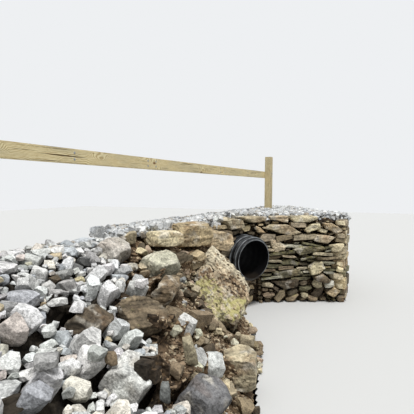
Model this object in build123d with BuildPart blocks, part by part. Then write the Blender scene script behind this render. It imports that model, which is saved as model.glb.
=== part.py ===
"""Culvert headwall: a dry stone retaining wall round a corrugated pipe, with a stone bank
on its left, a wing wall on its right and a timber guard rail above.

Millimetres. X runs along the rail, +Y points to the road side, +Z is up. The origin is the
middle of the footprint at the level of the stream bed.
"""
import math
import os
import random

from build123d import *

# Overall sizes
WALL_LENGTH = 9600
BACK_Y = 1200
FILL_TOP = 1400
SHOULDER_THICKNESS = 100

# Corrugated pipe
PIPE_BORE_RADIUS = 306
PIPE_WALL = 16
PIPE_RIB_HEIGHT = 33.5
PIPE_PITCH = 132
PIPE_CORRUGATIONS = 10
PIPE_VALLEY_SHARE = 0.36
PIPE_FLANK_SHARE = 0.12
PIPE_MOUTH = (620, 150, 820)
PIPE_SKEW = 60.3
PIPE_RISE = 4.5
PIPE_CLEARANCE = 0.3

# Face lines of the masonry in plan: left end, inner corner and nose of the wing wall
HEAD_LEFT = (-100, 550)
CORNER = (1050, 220)
NOSE = (1750, -1100)
CORE_RECESS = 120
STONE_DEPTH = 350
STONE_BREAK = 16

# Plan of the fill behind the masonry
SURROUND_LEFT_X = -50
SURROUND_RIGHT_X = 2100
NOSE_WIDTH = 550
RETURN_END_Y = 500
BANK_BACK_Y = 700

# Stone bank
BANK_CREST_Y = 750
BANK_TOE_HEIGHT = 60
BANK_FOOT_SLOPE = 45
BANK_SIDE_SLOPE = 75
FOOT_LEFT = (-2130, -870)
FOOT_CORNER = (-890, -500)
FOOT_RIGHT = (250, 250)

# Larger stones that stand out of the bank, in staggered rows
HEAP_SEED = 4
HEAP_STONE = (260, 210, 190)
HEAP_SPREAD = 0.15
HEAP_SPACING = 400
HEAP_ROW_SPACING = 350
HEAP_MARGIN = 240
HEAP_JITTER = 50
HEAP_TILT = 14
HEAP_RISE = 20
HEAP_LOWEST = 180
HEAP_RIGHT_X = -1900
HEAP_BACK_Y = 500

# Rubble that carries the coping stones at the end of the bank
BANK_END_LEFT_X = -2000
BANK_END_FRONT = ((-1900, 450), (-600, 60))

# Joints of the rubble on its outer sides, which is brought to level courses
COURSE_HEIGHT = 350
JOINT_SPACING = 960
JOINT_WIDTH = 50
JOINT_DEPTH = 60

# Gravel shoulder
SHOULDER_LEFT_X = -2000
SHOULDER_SPLIT_X = 1300
SHOULDER_SPLIT_BACKWARD = 250
SHOULDER_SETBACK = 300
SHOULDER_RETURN_SETBACK = 90

# Timber guard rail
POST_SIDE = 140
POST_Y = 800
POST_FOOT_Z = 550
POST_TOP_Z = 2660
POST_LEFT_X = -3720
POST_RIGHT_X = 3430
POST_RIGHT_LEAN = 1.5
RAIL_HEIGHT = 140
RAIL_THICKNESS = 38
RAIL_BOTTOM_Z = 2190
RAIL_OVERHANG = 55
RAIL_FRONT_JOINT_X = 1030
RAIL_BACK_JOINT_X = -1200
RAIL_JOINT_GAP = 2

half_length = WALL_LENGTH / 2
pipe_length = PIPE_PITCH * PIPE_CORRUGATIONS
pipe_valley_radius = PIPE_BORE_RADIUS + PIPE_WALL
pipe_crest_radius = pipe_valley_radius + PIPE_RIB_HEIGHT
rise = math.radians(PIPE_RISE)
skew = math.radians(PIPE_SKEW)
pipe_inward = Vector(
    math.cos(rise) * math.cos(skew),
    math.cos(rise) * math.sin(skew),
    math.sin(rise),
)
pipe_end = Vector(*PIPE_MOUTH) + pipe_inward * pipe_length
half_depth = pipe_end.Y + pipe_valley_radius * math.sqrt(1 - pipe_inward.Y**2)
pipe_plane = Plane(origin=PIPE_MOUTH, x_dir=(math.sin(skew), -math.cos(skew), 0), z_dir=pipe_inward)


def face_plane(start, end):
    """Upright plane along a face line in plan: X along the line, Y up, Z out of the wall."""
    along = Vector(end[0] - start[0], end[1] - start[1], 0).normalized()
    return Plane(origin=(start[0], start[1], 0), x_dir=along, z_dir=along.cross(Vector(0, 0, 1)))


def slope_plane(start, end, angle):
    """Plane through a foot line on the bed, leaning back from its right-hand side."""
    along = Vector(end[0] - start[0], end[1] - start[1], 0).normalized()
    out = along.cross(Vector(0, 0, 1))
    tilt = math.radians(angle)
    normal = out * math.sin(tilt) + Vector(0, 0, math.cos(tilt))
    return Plane(origin=(start[0], start[1], 0), z_dir=normal)


head_face = face_plane(HEAD_LEFT, CORNER)
wing_face = face_plane(CORNER, NOSE)
bank_slope = Plane(
    origin=(0, BANK_CREST_Y, FILL_TOP),
    z_dir=(0, -(FILL_TOP - BANK_TOE_HEIGHT), BANK_CREST_Y + half_depth),
)
foot_slope = slope_plane(FOOT_LEFT, FOOT_CORNER, BANK_FOOT_SLOPE)
side_slope = slope_plane(FOOT_CORNER, FOOT_RIGHT, BANK_SIDE_SLOPE)

pieces = {}


def keep(name, part):
    """Label a finished piece and file it under its node's name."""
    part.label = name
    pieces[name] = part
    return part


def faced_stone(name, face, outline, depth=STONE_DEPTH, proud=0):
    """A wall stone: its outline on the face of the wall, run back into the masonry, with the
    arrises of its face broken off."""
    with BuildPart() as stone:
        with BuildSketch(face.offset(proud)):
            with BuildLine():
                Polyline(*outline, close=True)
            make_face()
        extrude(amount=-depth - proud)
        front = stone.faces().sort_by(Axis(face.origin, face.z_dir))[-1]
        chamfer(front.edges(), length=STONE_BREAK)
    return keep(name, stone.part)


def rough_stone(name, place, length, width, height, seed, trim=0.80):
    """A field stone: a block whose eight corners and long arrises have been knocked off by
    flat breaks. The block lies in the given plane, its height along the plane's normal."""
    chance = random.Random(seed)
    half = Vector(length / 2, width / 2, height / 2)
    with BuildPart(place) as stone:
        Box(length, width, height)
        for step in range(8):
            signs = (1 - 2 * (step & 1), 1 - (step & 2), 1 - (step & 4) / 2)
            corner = Vector(signs[0] * half.X, signs[1] * half.Y, signs[2] * half.Z)
            lean = Vector(
                signs[0] / half.X * chance.uniform(0.6, 1.4),
                signs[1] / half.Y * chance.uniform(0.6, 1.4),
                signs[2] / half.Z * chance.uniform(0.6, 1.4),
            ).normalized()
            reach = lean.dot(corner) * chance.uniform(trim - 0.08, trim + 0.06)
            origin = place.from_local_coords(lean * reach)
            normal = origin - place.origin
            split(bisect_by=Plane(origin=origin, z_dir=normal), keep=Keep.BOTTOM)
    return keep(name, stone.part)


def lying(x, y, z, turn=0, tip=0, roll=0):
    """Plane for a loose stone: turned about Z, tipped about its length, rolled about its width."""
    return Plane(Location((x, y, z), (roll, tip, turn)))


# Stones of the head face, round and over the pipe
faced_stone(
    "cap_over_corner", head_face, [(820, 1495), (850, 1430), (1110, 1365), (1440, 1370), (1470, 1470)]
)
faced_stone(
    "lintel_over_pipe", head_face,
    [(350, 1450), (440, 1510), (770, 1460), (820, 1400), (860, 1300), (490, 1290)],
)

# Stones of the wing wall, listed from the top row down and from the pipe outward
faced_stone(
    "cap_inner", wing_face, [(190, 1490), (190, 1420), (505, 1365), (520, 1490)], depth=180
)
faced_stone(
    "cap_outer", wing_face,
    [(545, 1490), (550, 1430), (630, 1355), (890, 1375), (1040, 1430), (1010, 1480)],
)
faced_stone(
    "wedge_by_pipe", wing_face, [(-110, 1290), (-40, 1320), (50, 1280), (140, 1190), (0, 1185)], depth=200
)
faced_stone(
    "second_row_inner", wing_face,
    [(75, 1270), (190, 1345), (480, 1345), (570, 1315), (745, 1200), (550, 1135), (290, 1205)],
    depth=300,
)
faced_stone(
    "second_row_middle", wing_face, [(775, 1250), (905, 1345), (1055, 1380), (1075, 1265), (845, 1185)]
)
faced_stone(
    "second_row_outer", wing_face,
    [(1115, 1370), (1285, 1360), (1370, 1305), (1470, 1240), (1360, 1175), (1155, 1255)],
)
faced_stone(
    "third_row_inner", wing_face, [(165, 1125), (355, 1080), (470, 980), (465, 890), (265, 845), (215, 980)]
)
faced_stone(
    "third_row_outer", wing_face,
    [(935, 1060), (1010, 1175), (1210, 1155), (1350, 1125), (1285, 1070), (1190, 1005), (985, 1035)],
)
faced_stone(
    "mossy_ledge_upper", wing_face, [(575, 910), (710, 975), (1130, 965), (1215, 900), (715, 800)]
)
faced_stone(
    "mossy_ledge_lower", wing_face, [(715, 765), (1130, 835), (1095, 770), (715, 700)], depth=300
)
faced_stone(
    "fifth_row_ledge", wing_face, [(355, 700), (540, 765), (700, 690), (690, 625), (405, 645)]
)
faced_stone(
    "long_ledge", wing_face, [(205, 540), (700, 600), (805, 465), (375, 405)]
)
faced_stone(
    "foot_stone", wing_face, [(205, 370), (705, 420), (705, 265), (465, 215)]
)
faced_stone(
    "buff_stone", wing_face,
    [(855, 600), (950, 695), (1085, 725), (1135, 600), (1020, 495), (885, 485)], proud=90,
)
faced_stone(
    "mossy_stone", wing_face, [(925, 450), (1085, 525), (1240, 390), (1175, 325), (995, 360)], proud=110
)
faced_stone(
    "nose_foot_inner", wing_face, [(1165, 150), (1300, 265), (1415, 210), (1300, 85)], proud=60
)
faced_stone(
    "nose_foot_outer", wing_face, [(1345, 40), (1440, 120), (1490, 110), (1500, 0), (1400, 0)], proud=20
)

# Coping stones along the top of the bank
rough_stone("coping_left", lying(-1430, 560, 1360, turn=-20, tip=4), 400, 300, 190, seed=3)
rough_stone(
    "coping_middle", lying(-850, 500, 1360, turn=-28, tip=-4, roll=6), 520, 320, 290, seed=5
)
rough_stone(
    "coping_right", lying(-320, 370, 1220, turn=-40, tip=14, roll=4), 400, 310, 270, seed=11
)

# The big slab that leans on the end of the bank
slab_normal = Vector(-0.555, -0.472, 0.684)
slab_along = Vector(0.73, -0.67, 0.13)
slab_plane = Plane(origin=(-1100, -50, 780), x_dir=slab_along, z_dir=slab_normal)
SLAB_THICKNESS = 400
SLAB_BREAK = 45
with BuildPart() as leaning_slab:
    with BuildSketch(slab_plane):
        with BuildLine():
            Polyline(
                (110, 630), (290, 290), (370, -70), (270, -260), (-20, -500),
                (-430, -280), (-440, -70), (-330, 180), (-60, 510), close=True,
            )
        make_face()
    extrude(amount=-SLAB_THICKNESS)
    slab_front = leaning_slab.faces().sort_by(Axis(slab_plane.origin, slab_plane.z_dir))[-1]
    chamfer(slab_front.edges(), length=SLAB_BREAK)
keep("leaning_slab", leaning_slab.part)


def on_bank(x, y, sink=0, turn=0):
    """Plane for a stone bedded on the main slope of the bank, its normal square to the slope."""
    drop = (BANK_CREST_Y - y) * (FILL_TOP - BANK_TOE_HEIGHT) / (BANK_CREST_Y + half_depth)
    base = Plane(origin=(x, y, FILL_TOP - drop), x_dir=(1, 0, 0), z_dir=bank_slope.z_dir)
    return base.offset(-sink).rotated((0, 0, turn))


rough_stone("bank_stone_green", on_bank(-2250, 640, 20, 12), 420, 240, 200, seed=21)
rough_stone("bank_stone_mossy", on_bank(-1870, 330, 20, -8), 430, 250, 230, seed=22)
rough_stone("bank_stone_long", on_bank(-2180, 60, 20, 20), 560, 200, 230, seed=23)
rough_stone("bank_stone_ledge", on_bank(-3300, 40, 20, 14), 380, 230, 200, seed=24)
rough_stone("bank_stone_brown", on_bank(-2830, -80, 20, -20), 400, 330, 270, seed=25)
rough_stone("bank_stone_white", on_bank(-3420, -400, 10, 10), 300, 280, 260, seed=26)
rough_stone("bank_stone_grey", on_bank(-3000, -760, 60, 0), 340, 300, 260, seed=27)
rough_stone("toe_boulder", lying(-1990, -620, 260, turn=18), 430, 320, 300, seed=28)

stones = list(pieces.values())

# Corrugated plastic pipe: a smooth bore inside a wall of closed, trapezoid corrugations
with BuildPart() as pipe:
    with BuildSketch(Plane(pipe_plane.origin, x_dir=pipe_plane.z_dir, z_dir=pipe_plane.y_dir)):
        with BuildLine():
            valley_half = PIPE_VALLEY_SHARE / 2 * PIPE_PITCH
            flank = PIPE_FLANK_SHARE * PIPE_PITCH
            wave = [(0, pipe_valley_radius)]
            for corrugation in range(PIPE_CORRUGATIONS):
                rib_start = corrugation * PIPE_PITCH + valley_half
                rib_end = (corrugation + 1) * PIPE_PITCH - valley_half
                wave.append((rib_start, pipe_valley_radius))
                wave.append((rib_start + flank, pipe_crest_radius))
                wave.append((rib_end - flank, pipe_crest_radius))
                wave.append((rib_end, pipe_valley_radius))
            wave.append((pipe_length, pipe_valley_radius))
            wave.append((pipe_length, PIPE_BORE_RADIUS))
            wave.append((0, PIPE_BORE_RADIUS))
            Polyline(*wave, close=True)
        make_face()
    revolve(axis=Axis(pipe_plane.origin, pipe_plane.z_dir))
keep("pipe", pipe.part)


def guard_post(name, x, lean):
    """A square timber post, its foot buried in the fill, leaning along the rail if at all."""
    with BuildPart() as post:
        with BuildSketch(Plane.XZ.offset(-POST_Y - POST_SIDE / 2)):
            with BuildLine():
                shift = math.tan(math.radians(lean)) * (POST_TOP_Z - POST_FOOT_Z)
                Polyline(
                    (x - POST_SIDE / 2, POST_FOOT_Z),
                    (x + POST_SIDE / 2, POST_FOOT_Z),
                    (x + POST_SIDE / 2 + shift, POST_TOP_Z),
                    (x - POST_SIDE / 2 + shift, POST_TOP_Z),
                    close=True,
                )
            make_face()
        extrude(amount=POST_SIDE)
    return keep(name, post.part)


post_left = guard_post("post_left", POST_LEFT_X, 0)
post_right = guard_post("post_right", POST_RIGHT_X, POST_RIGHT_LEAN)

rail_start = POST_LEFT_X - POST_SIDE / 2 - RAIL_OVERHANG
rail_finish = POST_RIGHT_X + POST_SIDE / 2 + RAIL_OVERHANG


def rail_board(name, start, finish, ply):
    """One board of the doubled rail, bolted flat against the road side of the posts."""
    near_y = POST_Y + POST_SIDE / 2 + ply * RAIL_THICKNESS
    with BuildPart() as board:
        with BuildSketch(Plane.XZ.offset(-near_y)):
            with Locations(((start + finish) / 2, RAIL_BOTTOM_Z + RAIL_HEIGHT / 2)):
                Rectangle(finish - start, RAIL_HEIGHT)
        extrude(amount=-RAIL_THICKNESS)
    return keep(name, board.part)


half_gap = RAIL_JOINT_GAP / 2
rail_board("rail_front_left", rail_start, RAIL_FRONT_JOINT_X - half_gap, 0)
rail_board("rail_front_right", RAIL_FRONT_JOINT_X + half_gap, rail_finish, 0)
rail_board("rail_back_left", rail_start, RAIL_BACK_JOINT_X - half_gap, 1)
rail_board("rail_back_right", RAIL_BACK_JOINT_X + half_gap, rail_finish, 1)


def seat(*parts):
    """Cut a bed for each given piece out of the mass that is being built."""
    for part in parts:
        add(part, mode=Mode.SUBTRACT)


def height_on(plane, x, y):
    """Height at which a sloping plane passes over a place in plan."""
    normal = plane.z_dir
    return plane.origin.Z - (normal.X * (x - plane.origin.X) + normal.Y * (y - plane.origin.Y)) / normal.Z


def heap_stones():
    """Planes and sizes of the larger stones of the bank."""
    chance = random.Random(HEAP_SEED)
    first_x = HEAP_MARGIN - half_length
    first_y = HEAP_MARGIN - half_depth
    columns = math.ceil((HEAP_RIGHT_X - first_x) / HEAP_SPACING)
    rows = math.ceil((HEAP_BACK_Y - first_y) / HEAP_ROW_SPACING)
    slope = math.degrees(math.atan2(FILL_TOP - BANK_TOE_HEIGHT, BANK_CREST_Y + half_depth))
    for row in range(rows):
        for column in range(columns):
            x = first_x + (column + row % 2 / 2) * HEAP_SPACING + chance.uniform(-1, 1) * HEAP_JITTER
            y = first_y + row * HEAP_ROW_SPACING + chance.uniform(-1, 1) * HEAP_JITTER
            size = [length * chance.uniform(1 - HEAP_SPREAD, 1 + HEAP_SPREAD) for length in HEAP_STONE]
            turn = chance.uniform(0, 180)
            tip = chance.uniform(-1, 1) * HEAP_TILT
            roll = slope + chance.uniform(-1, 1) * HEAP_TILT
            z = min(height_on(bank_slope, x, y), height_on(foot_slope, x, y))
            if z > HEAP_LOWEST:
                yield lying(x, y, z + HEAP_RISE, turn, tip, roll), size


def cut_joints(start, end):
    """Cut level and upright joints into an outer side of the rubble that is being built."""
    side = face_plane(start, end)
    length = math.dist(start, end)
    courses = round(FILL_TOP / COURSE_HEIGHT)
    for course in range(courses):
        foot = course * COURSE_HEIGHT
        if course:
            with Locations(side * Location((length / 2, foot, 0))):
                Box(length, JOINT_WIDTH, 2 * JOINT_DEPTH, mode=Mode.SUBTRACT)
        across = JOINT_SPACING * (1 if course % 2 else 0.5)
        while across < length - JOINT_SPACING / 4:
            with Locations(side * Location((across, foot + COURSE_HEIGHT / 2, 0))):
                Box(JOINT_WIDTH, COURSE_HEIGHT, 2 * JOINT_DEPTH, mode=Mode.SUBTRACT)
            across += JOINT_SPACING


# Masses of rubble and packed fill
with BuildPart() as bank_end:
    with BuildSketch():
        with BuildLine():
            Polyline(
                (BANK_END_LEFT_X, BANK_BACK_Y), *BANK_END_FRONT, (SURROUND_LEFT_X, BANK_END_FRONT[1][1]),
                (SURROUND_LEFT_X, BANK_BACK_Y), close=True,
            )
        make_face()
    extrude(amount=FILL_TOP)
    split(bisect_by=bank_slope, keep=Keep.BOTTOM)
    split(bisect_by=side_slope, keep=Keep.BOTTOM)
    seat(*stones)
keep("bank_end", bank_end.part)

with BuildPart() as bank:
    with BuildSketch():
        with BuildLine():
            Polyline(
                (-half_length, -half_depth), (SURROUND_LEFT_X, -half_depth),
                (SURROUND_LEFT_X, BANK_BACK_Y), (-half_length, BANK_BACK_Y), close=True,
            )
        make_face()
    extrude(amount=FILL_TOP)
    split(bisect_by=bank_slope, keep=Keep.BOTTOM)
    split(bisect_by=foot_slope, keep=Keep.BOTTOM)
    split(bisect_by=side_slope, keep=Keep.BOTTOM)
    for place, size in heap_stones():
        with Locations(place):
            Box(*size)
    cut_joints((-half_length, BANK_BACK_Y), (-half_length, -half_depth))
    seat(bank_end.part, *stones)
keep("bank", bank.part)

with BuildPart() as fill_left:
    with BuildSketch():
        with BuildLine():
            Polyline(
                (-half_length, BANK_BACK_Y), (SURROUND_LEFT_X, BANK_BACK_Y),
                (SURROUND_LEFT_X, BACK_Y), (-half_length, BACK_Y), close=True,
            )
        make_face()
    extrude(amount=FILL_TOP)
    split(bisect_by=bank_slope, keep=Keep.BOTTOM)
    cut_joints((SURROUND_LEFT_X, BACK_Y), (-half_length, BACK_Y))
    cut_joints((-half_length, BACK_Y), (-half_length, BANK_BACK_Y))
    seat(post_left, *stones)
keep("fill_left", fill_left.part)

head_along = Vector(CORNER[0] - HEAD_LEFT[0], CORNER[1] - HEAD_LEFT[1], 0)
surround_share = (SURROUND_LEFT_X - HEAD_LEFT[0]) / head_along.X
surround_front_y = HEAD_LEFT[1] + surround_share * head_along.Y
with BuildPart() as pipe_surround:
    with BuildSketch():
        with BuildLine():
            Polyline(
                (SURROUND_LEFT_X, surround_front_y), CORNER, (SURROUND_RIGHT_X, BACK_Y),
                (SURROUND_LEFT_X, BACK_Y), close=True,
            )
        make_face()
    extrude(amount=FILL_TOP)
    split(bisect_by=head_face.offset(-CORE_RECESS), keep=Keep.BOTTOM)
    with BuildSketch(pipe_plane):
        Circle(pipe_crest_radius + PIPE_CLEARANCE)
    extrude(amount=pipe_length * 2, mode=Mode.SUBTRACT)
    cut_joints((SURROUND_RIGHT_X, BACK_Y), (SURROUND_LEFT_X, BACK_Y))
    seat(*stones)
keep("pipe_surround", pipe_surround.part)

nose_outer = (NOSE[0] + NOSE_WIDTH, NOSE[1])
with BuildPart() as fill_right:
    with BuildSketch():
        with BuildLine():
            Polyline(
                CORNER, NOSE, nose_outer, (half_length, RETURN_END_Y), (half_length, BACK_Y),
                (SURROUND_RIGHT_X, BACK_Y), close=True,
            )
        make_face()
    extrude(amount=FILL_TOP)
    split(bisect_by=wing_face.offset(-CORE_RECESS), keep=Keep.BOTTOM)
    cut_joints(NOSE, nose_outer)
    cut_joints(nose_outer, (half_length, RETURN_END_Y))
    cut_joints((half_length, RETURN_END_Y), (half_length, BACK_Y))
    cut_joints((half_length, BACK_Y), (SURROUND_RIGHT_X, BACK_Y))
    seat(post_right, *stones)
keep("fill_right", fill_right.part)

# Crushed stone of the road's shoulder, spread over the fill behind the coping stones
with BuildPart() as shoulder_left:
    with BuildSketch(Plane.XY.offset(FILL_TOP)):
        with BuildLine():
            Polyline(
                (SHOULDER_LEFT_X, BANK_CREST_Y), (SHOULDER_SPLIT_X, BANK_CREST_Y - SHOULDER_SPLIT_BACKWARD),
                (SHOULDER_SPLIT_X, BACK_Y), (SHOULDER_LEFT_X, BACK_Y), close=True,
            )
        make_face()
    extrude(amount=SHOULDER_THICKNESS)
    seat(*stones)
keep("shoulder_left", shoulder_left.part)

with BuildPart() as shoulder_right:
    with BuildSketch(Plane.XY.offset(FILL_TOP)):
        with BuildLine():
            Polyline(
                (SHOULDER_SPLIT_X, BACK_Y), (SHOULDER_SPLIT_X, NOSE[1]), nose_outer,
                (half_length, RETURN_END_Y), (half_length, BACK_Y), close=True,
            )
        make_face()
    extrude(amount=SHOULDER_THICKNESS)
    split(bisect_by=wing_face.offset(-SHOULDER_SETBACK), keep=Keep.BOTTOM)
    split(bisect_by=face_plane(nose_outer, (half_length, RETURN_END_Y)).offset(-SHOULDER_RETURN_SETBACK),
          keep=Keep.BOTTOM)
    seat(post_right, *stones)
keep("shoulder_right", shoulder_right.part)

os.makedirs("parts", exist_ok=True)
for name, part in pieces.items():
    export_step(part, f"parts/{name}.step")
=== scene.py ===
import math
import random

import bmesh
import bpy
import numpy as np
from mathutils import Matrix, Vector, noise
from mathutils.bvhtree import BVHTree


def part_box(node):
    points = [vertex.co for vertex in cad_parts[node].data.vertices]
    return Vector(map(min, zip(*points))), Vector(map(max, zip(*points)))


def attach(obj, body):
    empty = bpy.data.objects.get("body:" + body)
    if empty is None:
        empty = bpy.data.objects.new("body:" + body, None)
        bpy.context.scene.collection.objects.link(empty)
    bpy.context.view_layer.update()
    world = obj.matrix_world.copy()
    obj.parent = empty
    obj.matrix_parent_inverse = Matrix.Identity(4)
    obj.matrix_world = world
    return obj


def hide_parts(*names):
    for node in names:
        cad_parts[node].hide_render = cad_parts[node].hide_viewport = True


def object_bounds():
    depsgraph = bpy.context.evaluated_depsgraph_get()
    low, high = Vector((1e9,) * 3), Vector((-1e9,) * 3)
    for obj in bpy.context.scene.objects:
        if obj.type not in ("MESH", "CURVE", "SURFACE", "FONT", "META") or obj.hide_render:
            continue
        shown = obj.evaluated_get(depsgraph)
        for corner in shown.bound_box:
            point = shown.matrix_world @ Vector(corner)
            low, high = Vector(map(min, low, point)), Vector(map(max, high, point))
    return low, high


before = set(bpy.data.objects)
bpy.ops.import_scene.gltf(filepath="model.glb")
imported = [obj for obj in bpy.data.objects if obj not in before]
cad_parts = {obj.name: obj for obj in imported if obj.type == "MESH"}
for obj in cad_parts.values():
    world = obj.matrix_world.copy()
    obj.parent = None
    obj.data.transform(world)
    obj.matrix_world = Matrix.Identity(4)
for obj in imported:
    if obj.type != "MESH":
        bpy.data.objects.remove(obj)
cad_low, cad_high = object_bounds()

# Camera
# The wall is seen by someone standing on the left of the stream, eye about two metres above
# its bed, looking along the guard rail and a little downward.
PHOTO_SIDE = 414
FOCAL_PIXELS = 414.0
SENSOR_WIDTH = 36.0
EYE = Vector((-5.6, -2.0, 1.95))
TURN = math.radians(25.6)
DIP = math.radians(-2.56)

ahead = Vector((math.cos(DIP) * math.cos(TURN), math.cos(DIP) * math.sin(TURN), math.sin(DIP)))
rightward = Vector((math.sin(TURN), -math.cos(TURN), 0))
upward = rightward.cross(ahead)



def in_scene(name, data):
    """A new object in the scene that carries this data."""
    made = bpy.data.objects.new(name, data)
    bpy.context.scene.collection.objects.link(made)
    return made


camera = in_scene("camera", bpy.data.cameras.new("camera"))
camera.data.sensor_width = SENSOR_WIDTH
camera.data.lens = SENSOR_WIDTH * FOCAL_PIXELS / PHOTO_SIDE
camera.location = EYE
camera.rotation_mode = "QUATERNION"
camera.rotation_quaternion = ahead.to_track_quat("-Z", "Y")
bpy.context.scene.camera = camera


def sight(px, py):
    """Direction in which the eye sees a point of the photograph."""
    across = (px - PHOTO_SIDE / 2) / FOCAL_PIXELS
    down = (py - PHOTO_SIDE / 2) / FOCAL_PIXELS
    return (ahead + rightward * across - upward * down).normalized()


# Rubble core
# The body of the bank and of the fills is stone waste packed with brown earth. Little of it shows: only the
# crumbly ground between the stones that are laid on it, brown towards the stream and painted near-black as
# shade between the pale stones and in the joints.
MASSES = ("bank", "bank_end", "fill_left", "fill_right", "pipe_surround")
CORE_GRID = 0.040
BANK_SHRINK = 0.085
WALL_SHRINK = 0.045
CORE_LUMPS = 0.016
CORE_LUMPS_PER_METRE = 7.0
SIDE_SKIN = 0.05
BANK_BACK_Y = 1.1
FLOOR_LEVEL = 0.03
# The pale tipped stone gives way to brown earth across lines of equal x - STREAM_SLANT * y
STREAM_SLANT = 0.9
EARTH_RISE = 0.035
EARTH_STARTS = -2.9
EARTH_FADE = 0.5
# Past EARTH_SEEN the earth is brown; before it, among the pale stones, and in part past EARTH_SHADED in the
# wing's joints, it takes the near-black of painted shade
EARTH_SEEN = (-3.0, -2.3)
EARTH_SHADED = (0.2, 0.8)
CLOD_SIZE = 0.045
PATCH_SIZE = 0.4
SOIL_TONES = ("#2e251c", "#77614a")
PAINTED_SHADE_TONES = ("#15120f", "#3a342c")
FLAKE_TONES = [(0.0, "#2c231a"), (0.4, "#5c4b38"), (0.75, "#8a745a"), (1.0, "#c6b597")]
FLAKE_SIZE = 0.022
FLAKED_SHARE = 0.62


def linear(colour):
    """Linear RGBA of an sRGB hex colour."""
    parts = [int(colour[i : i + 2], 16) / 255 for i in (1, 3, 5)]
    return [p / 12.92 if p <= 0.04045 else ((p + 0.055) / 1.055) ** 2.4 for p in parts] + [1.0]


def add(tree, kind, sockets=None, stops=(), **settings):
    """Add a node, set its properties and a colour ramp's (place, hex colour) stops, then fill its
    sockets with values or with other sockets."""
    made = tree.nodes.new(kind)
    for name, value in settings.items():
        setattr(made, name, value)
    if stops:
        elements = made.color_ramp.elements
        while len(elements) < len(stops):
            elements.new(0.5)
        for element, (place, colour) in zip(elements, stops):
            element.position = place
            element.color = linear(colour)
    for name, value in (sockets or {}).items():
        if isinstance(value, bpy.types.NodeSocket):
            tree.links.new(value, made.inputs[name])
        else:
            made.inputs[name].default_value = value
    return made


def new_material(name):
    """A new material, its node tree and its shader."""
    material = bpy.data.materials.new(name)
    material.use_nodes = True
    return material, material.node_tree, material.node_tree.nodes["Principled BSDF"]


def flaked(tree, place, share, below):
    """Flakes and crumbs of brown matter, nearly twice as long as wide: the colour of a surface
    with 'share' of it covered by them, and how far each place lies from the middle of a flake."""
    laid = add(
        tree, "ShaderNodeMapping", {"Vector": place, "Scale": (1.0, 0.55, 1.0), "Rotation": (0.3, 0.2, 0.6)}
    )
    cells = add(
        tree, "ShaderNodeTexVoronoi", {"Vector": laid.outputs[0], "Scale": 1 / FLAKE_SIZE}, feature="F1"
    )
    chance = add(tree, "ShaderNodeSeparateColor", {0: cells.outputs["Color"]})
    there = add(tree, "ShaderNodeMath", {0: chance.outputs[0], 1: share}, operation="LESS_THAN")
    tone = add(tree, "ShaderNodeValToRGB", {"Fac": chance.outputs[1]}, stops=FLAKE_TONES)
    made = add(
        tree, "ShaderNodeMix", {0: there.outputs[0], 6: below, 7: tone.outputs["Color"]}, data_type="RGBA"
    )
    return made.outputs[2], cells.outputs["Distance"]


def packed_earth():
    """Clay and stone dust packed by rain: matt and crumbly. Towards the stream it is brown and strewn with
    flakes; between the pale stones and in the joints it lies in deep shade, which is painted into its colour
    as near-black."""
    material, tree, shader = new_material("packed_earth")
    place = add(tree, "ShaderNodeTexCoord").outputs["Object"]
    clods = add(tree, "ShaderNodeTexNoise", {"Vector": place, "Scale": 1 / CLOD_SIZE, "Detail": 8.0})
    patches = add(tree, "ShaderNodeTexNoise", {"Vector": place, "Scale": 1 / PATCH_SIZE, "Detail": 3.0})
    mixed = add(
        tree, "ShaderNodeMath", {0: clods.outputs["Fac"], 1: patches.outputs["Fac"]}, operation="ADD"
    )
    share = add(tree, "ShaderNodeMath", {0: mixed.outputs[0], 1: 0.5}, operation="MULTIPLY")
    # The second set of tones is the near-black of painted shade
    soil, deep = [
        add(
            tree, "ShaderNodeValToRGB", {"Fac": share.outputs[0]}, stops=[(0.40, tones[0]), (0.58, tones[1])]
        ).outputs["Color"]
        for tones in (SOIL_TONES, PAINTED_SHADE_TONES)
    ]
    slant = add(
        tree, "ShaderNodeVectorMath", {0: place, 1: (1.0, -STREAM_SLANT, 0.0)}, operation="DOT_PRODUCT"
    ).outputs["Value"]
    seen = add(tree, "ShaderNodeMapRange", {0: slant, 1: EARTH_SEEN[0], 2: EARTH_SEEN[1]})
    lit = add(tree, "ShaderNodeMapRange", {0: slant, 1: EARTH_SHADED[0], 2: EARTH_SHADED[1], 3: 1.0, 4: 0.3})
    earthy = add(
        tree, "ShaderNodeMath", {0: seen.outputs[0], 1: lit.outputs[0]}, operation="MULTIPLY"
    ).outputs[0]
    ground = add(tree, "ShaderNodeMix", {0: earthy, 6: deep, 7: soil}, data_type="RGBA").outputs[2]
    strewn_share = add(tree, "ShaderNodeMath", {0: earthy, 1: FLAKED_SHARE}, operation="MULTIPLY")
    colour, flake = flaked(tree, place, strewn_share.outputs[0], ground)
    crumbs = add(
        tree, "ShaderNodeMath", {0: flake, 1: -0.5, 2: clods.outputs["Fac"]}, operation="MULTIPLY_ADD"
    )
    bump = add(tree, "ShaderNodeBump", {"Height": crumbs.outputs[0], "Strength": 0.8, "Distance": 0.02})
    tree.links.new(colour, shader.inputs["Base Color"])
    tree.links.new(bump.outputs[0], shader.inputs["Normal"])
    shader.inputs["Roughness"].default_value = 0.95
    shader.inputs["Specular IOR Level"].default_value = 0.2
    return material


def merged_copy(nodes):
    """One mesh of several CAD nodes, with the loose triangles of each joined up."""
    joined = bmesh.new()
    for name in nodes:
        joined.from_mesh(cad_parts[name].data)
    bmesh.ops.remove_doubles(joined, verts=joined.verts, dist=1e-5)
    mesh = bpy.data.meshes.new("merged")
    joined.to_mesh(mesh)
    joined.free()
    return mesh


def evaluated(holder):
    """Mesh of a helper object with its modifiers applied; the helper itself is removed."""
    graph = bpy.context.evaluated_depsgraph_get()
    mesh = bpy.data.meshes.new_from_object(holder.evaluated_get(graph))
    holder.modifiers.clear()
    bpy.data.objects.remove(holder)
    return mesh


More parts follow.
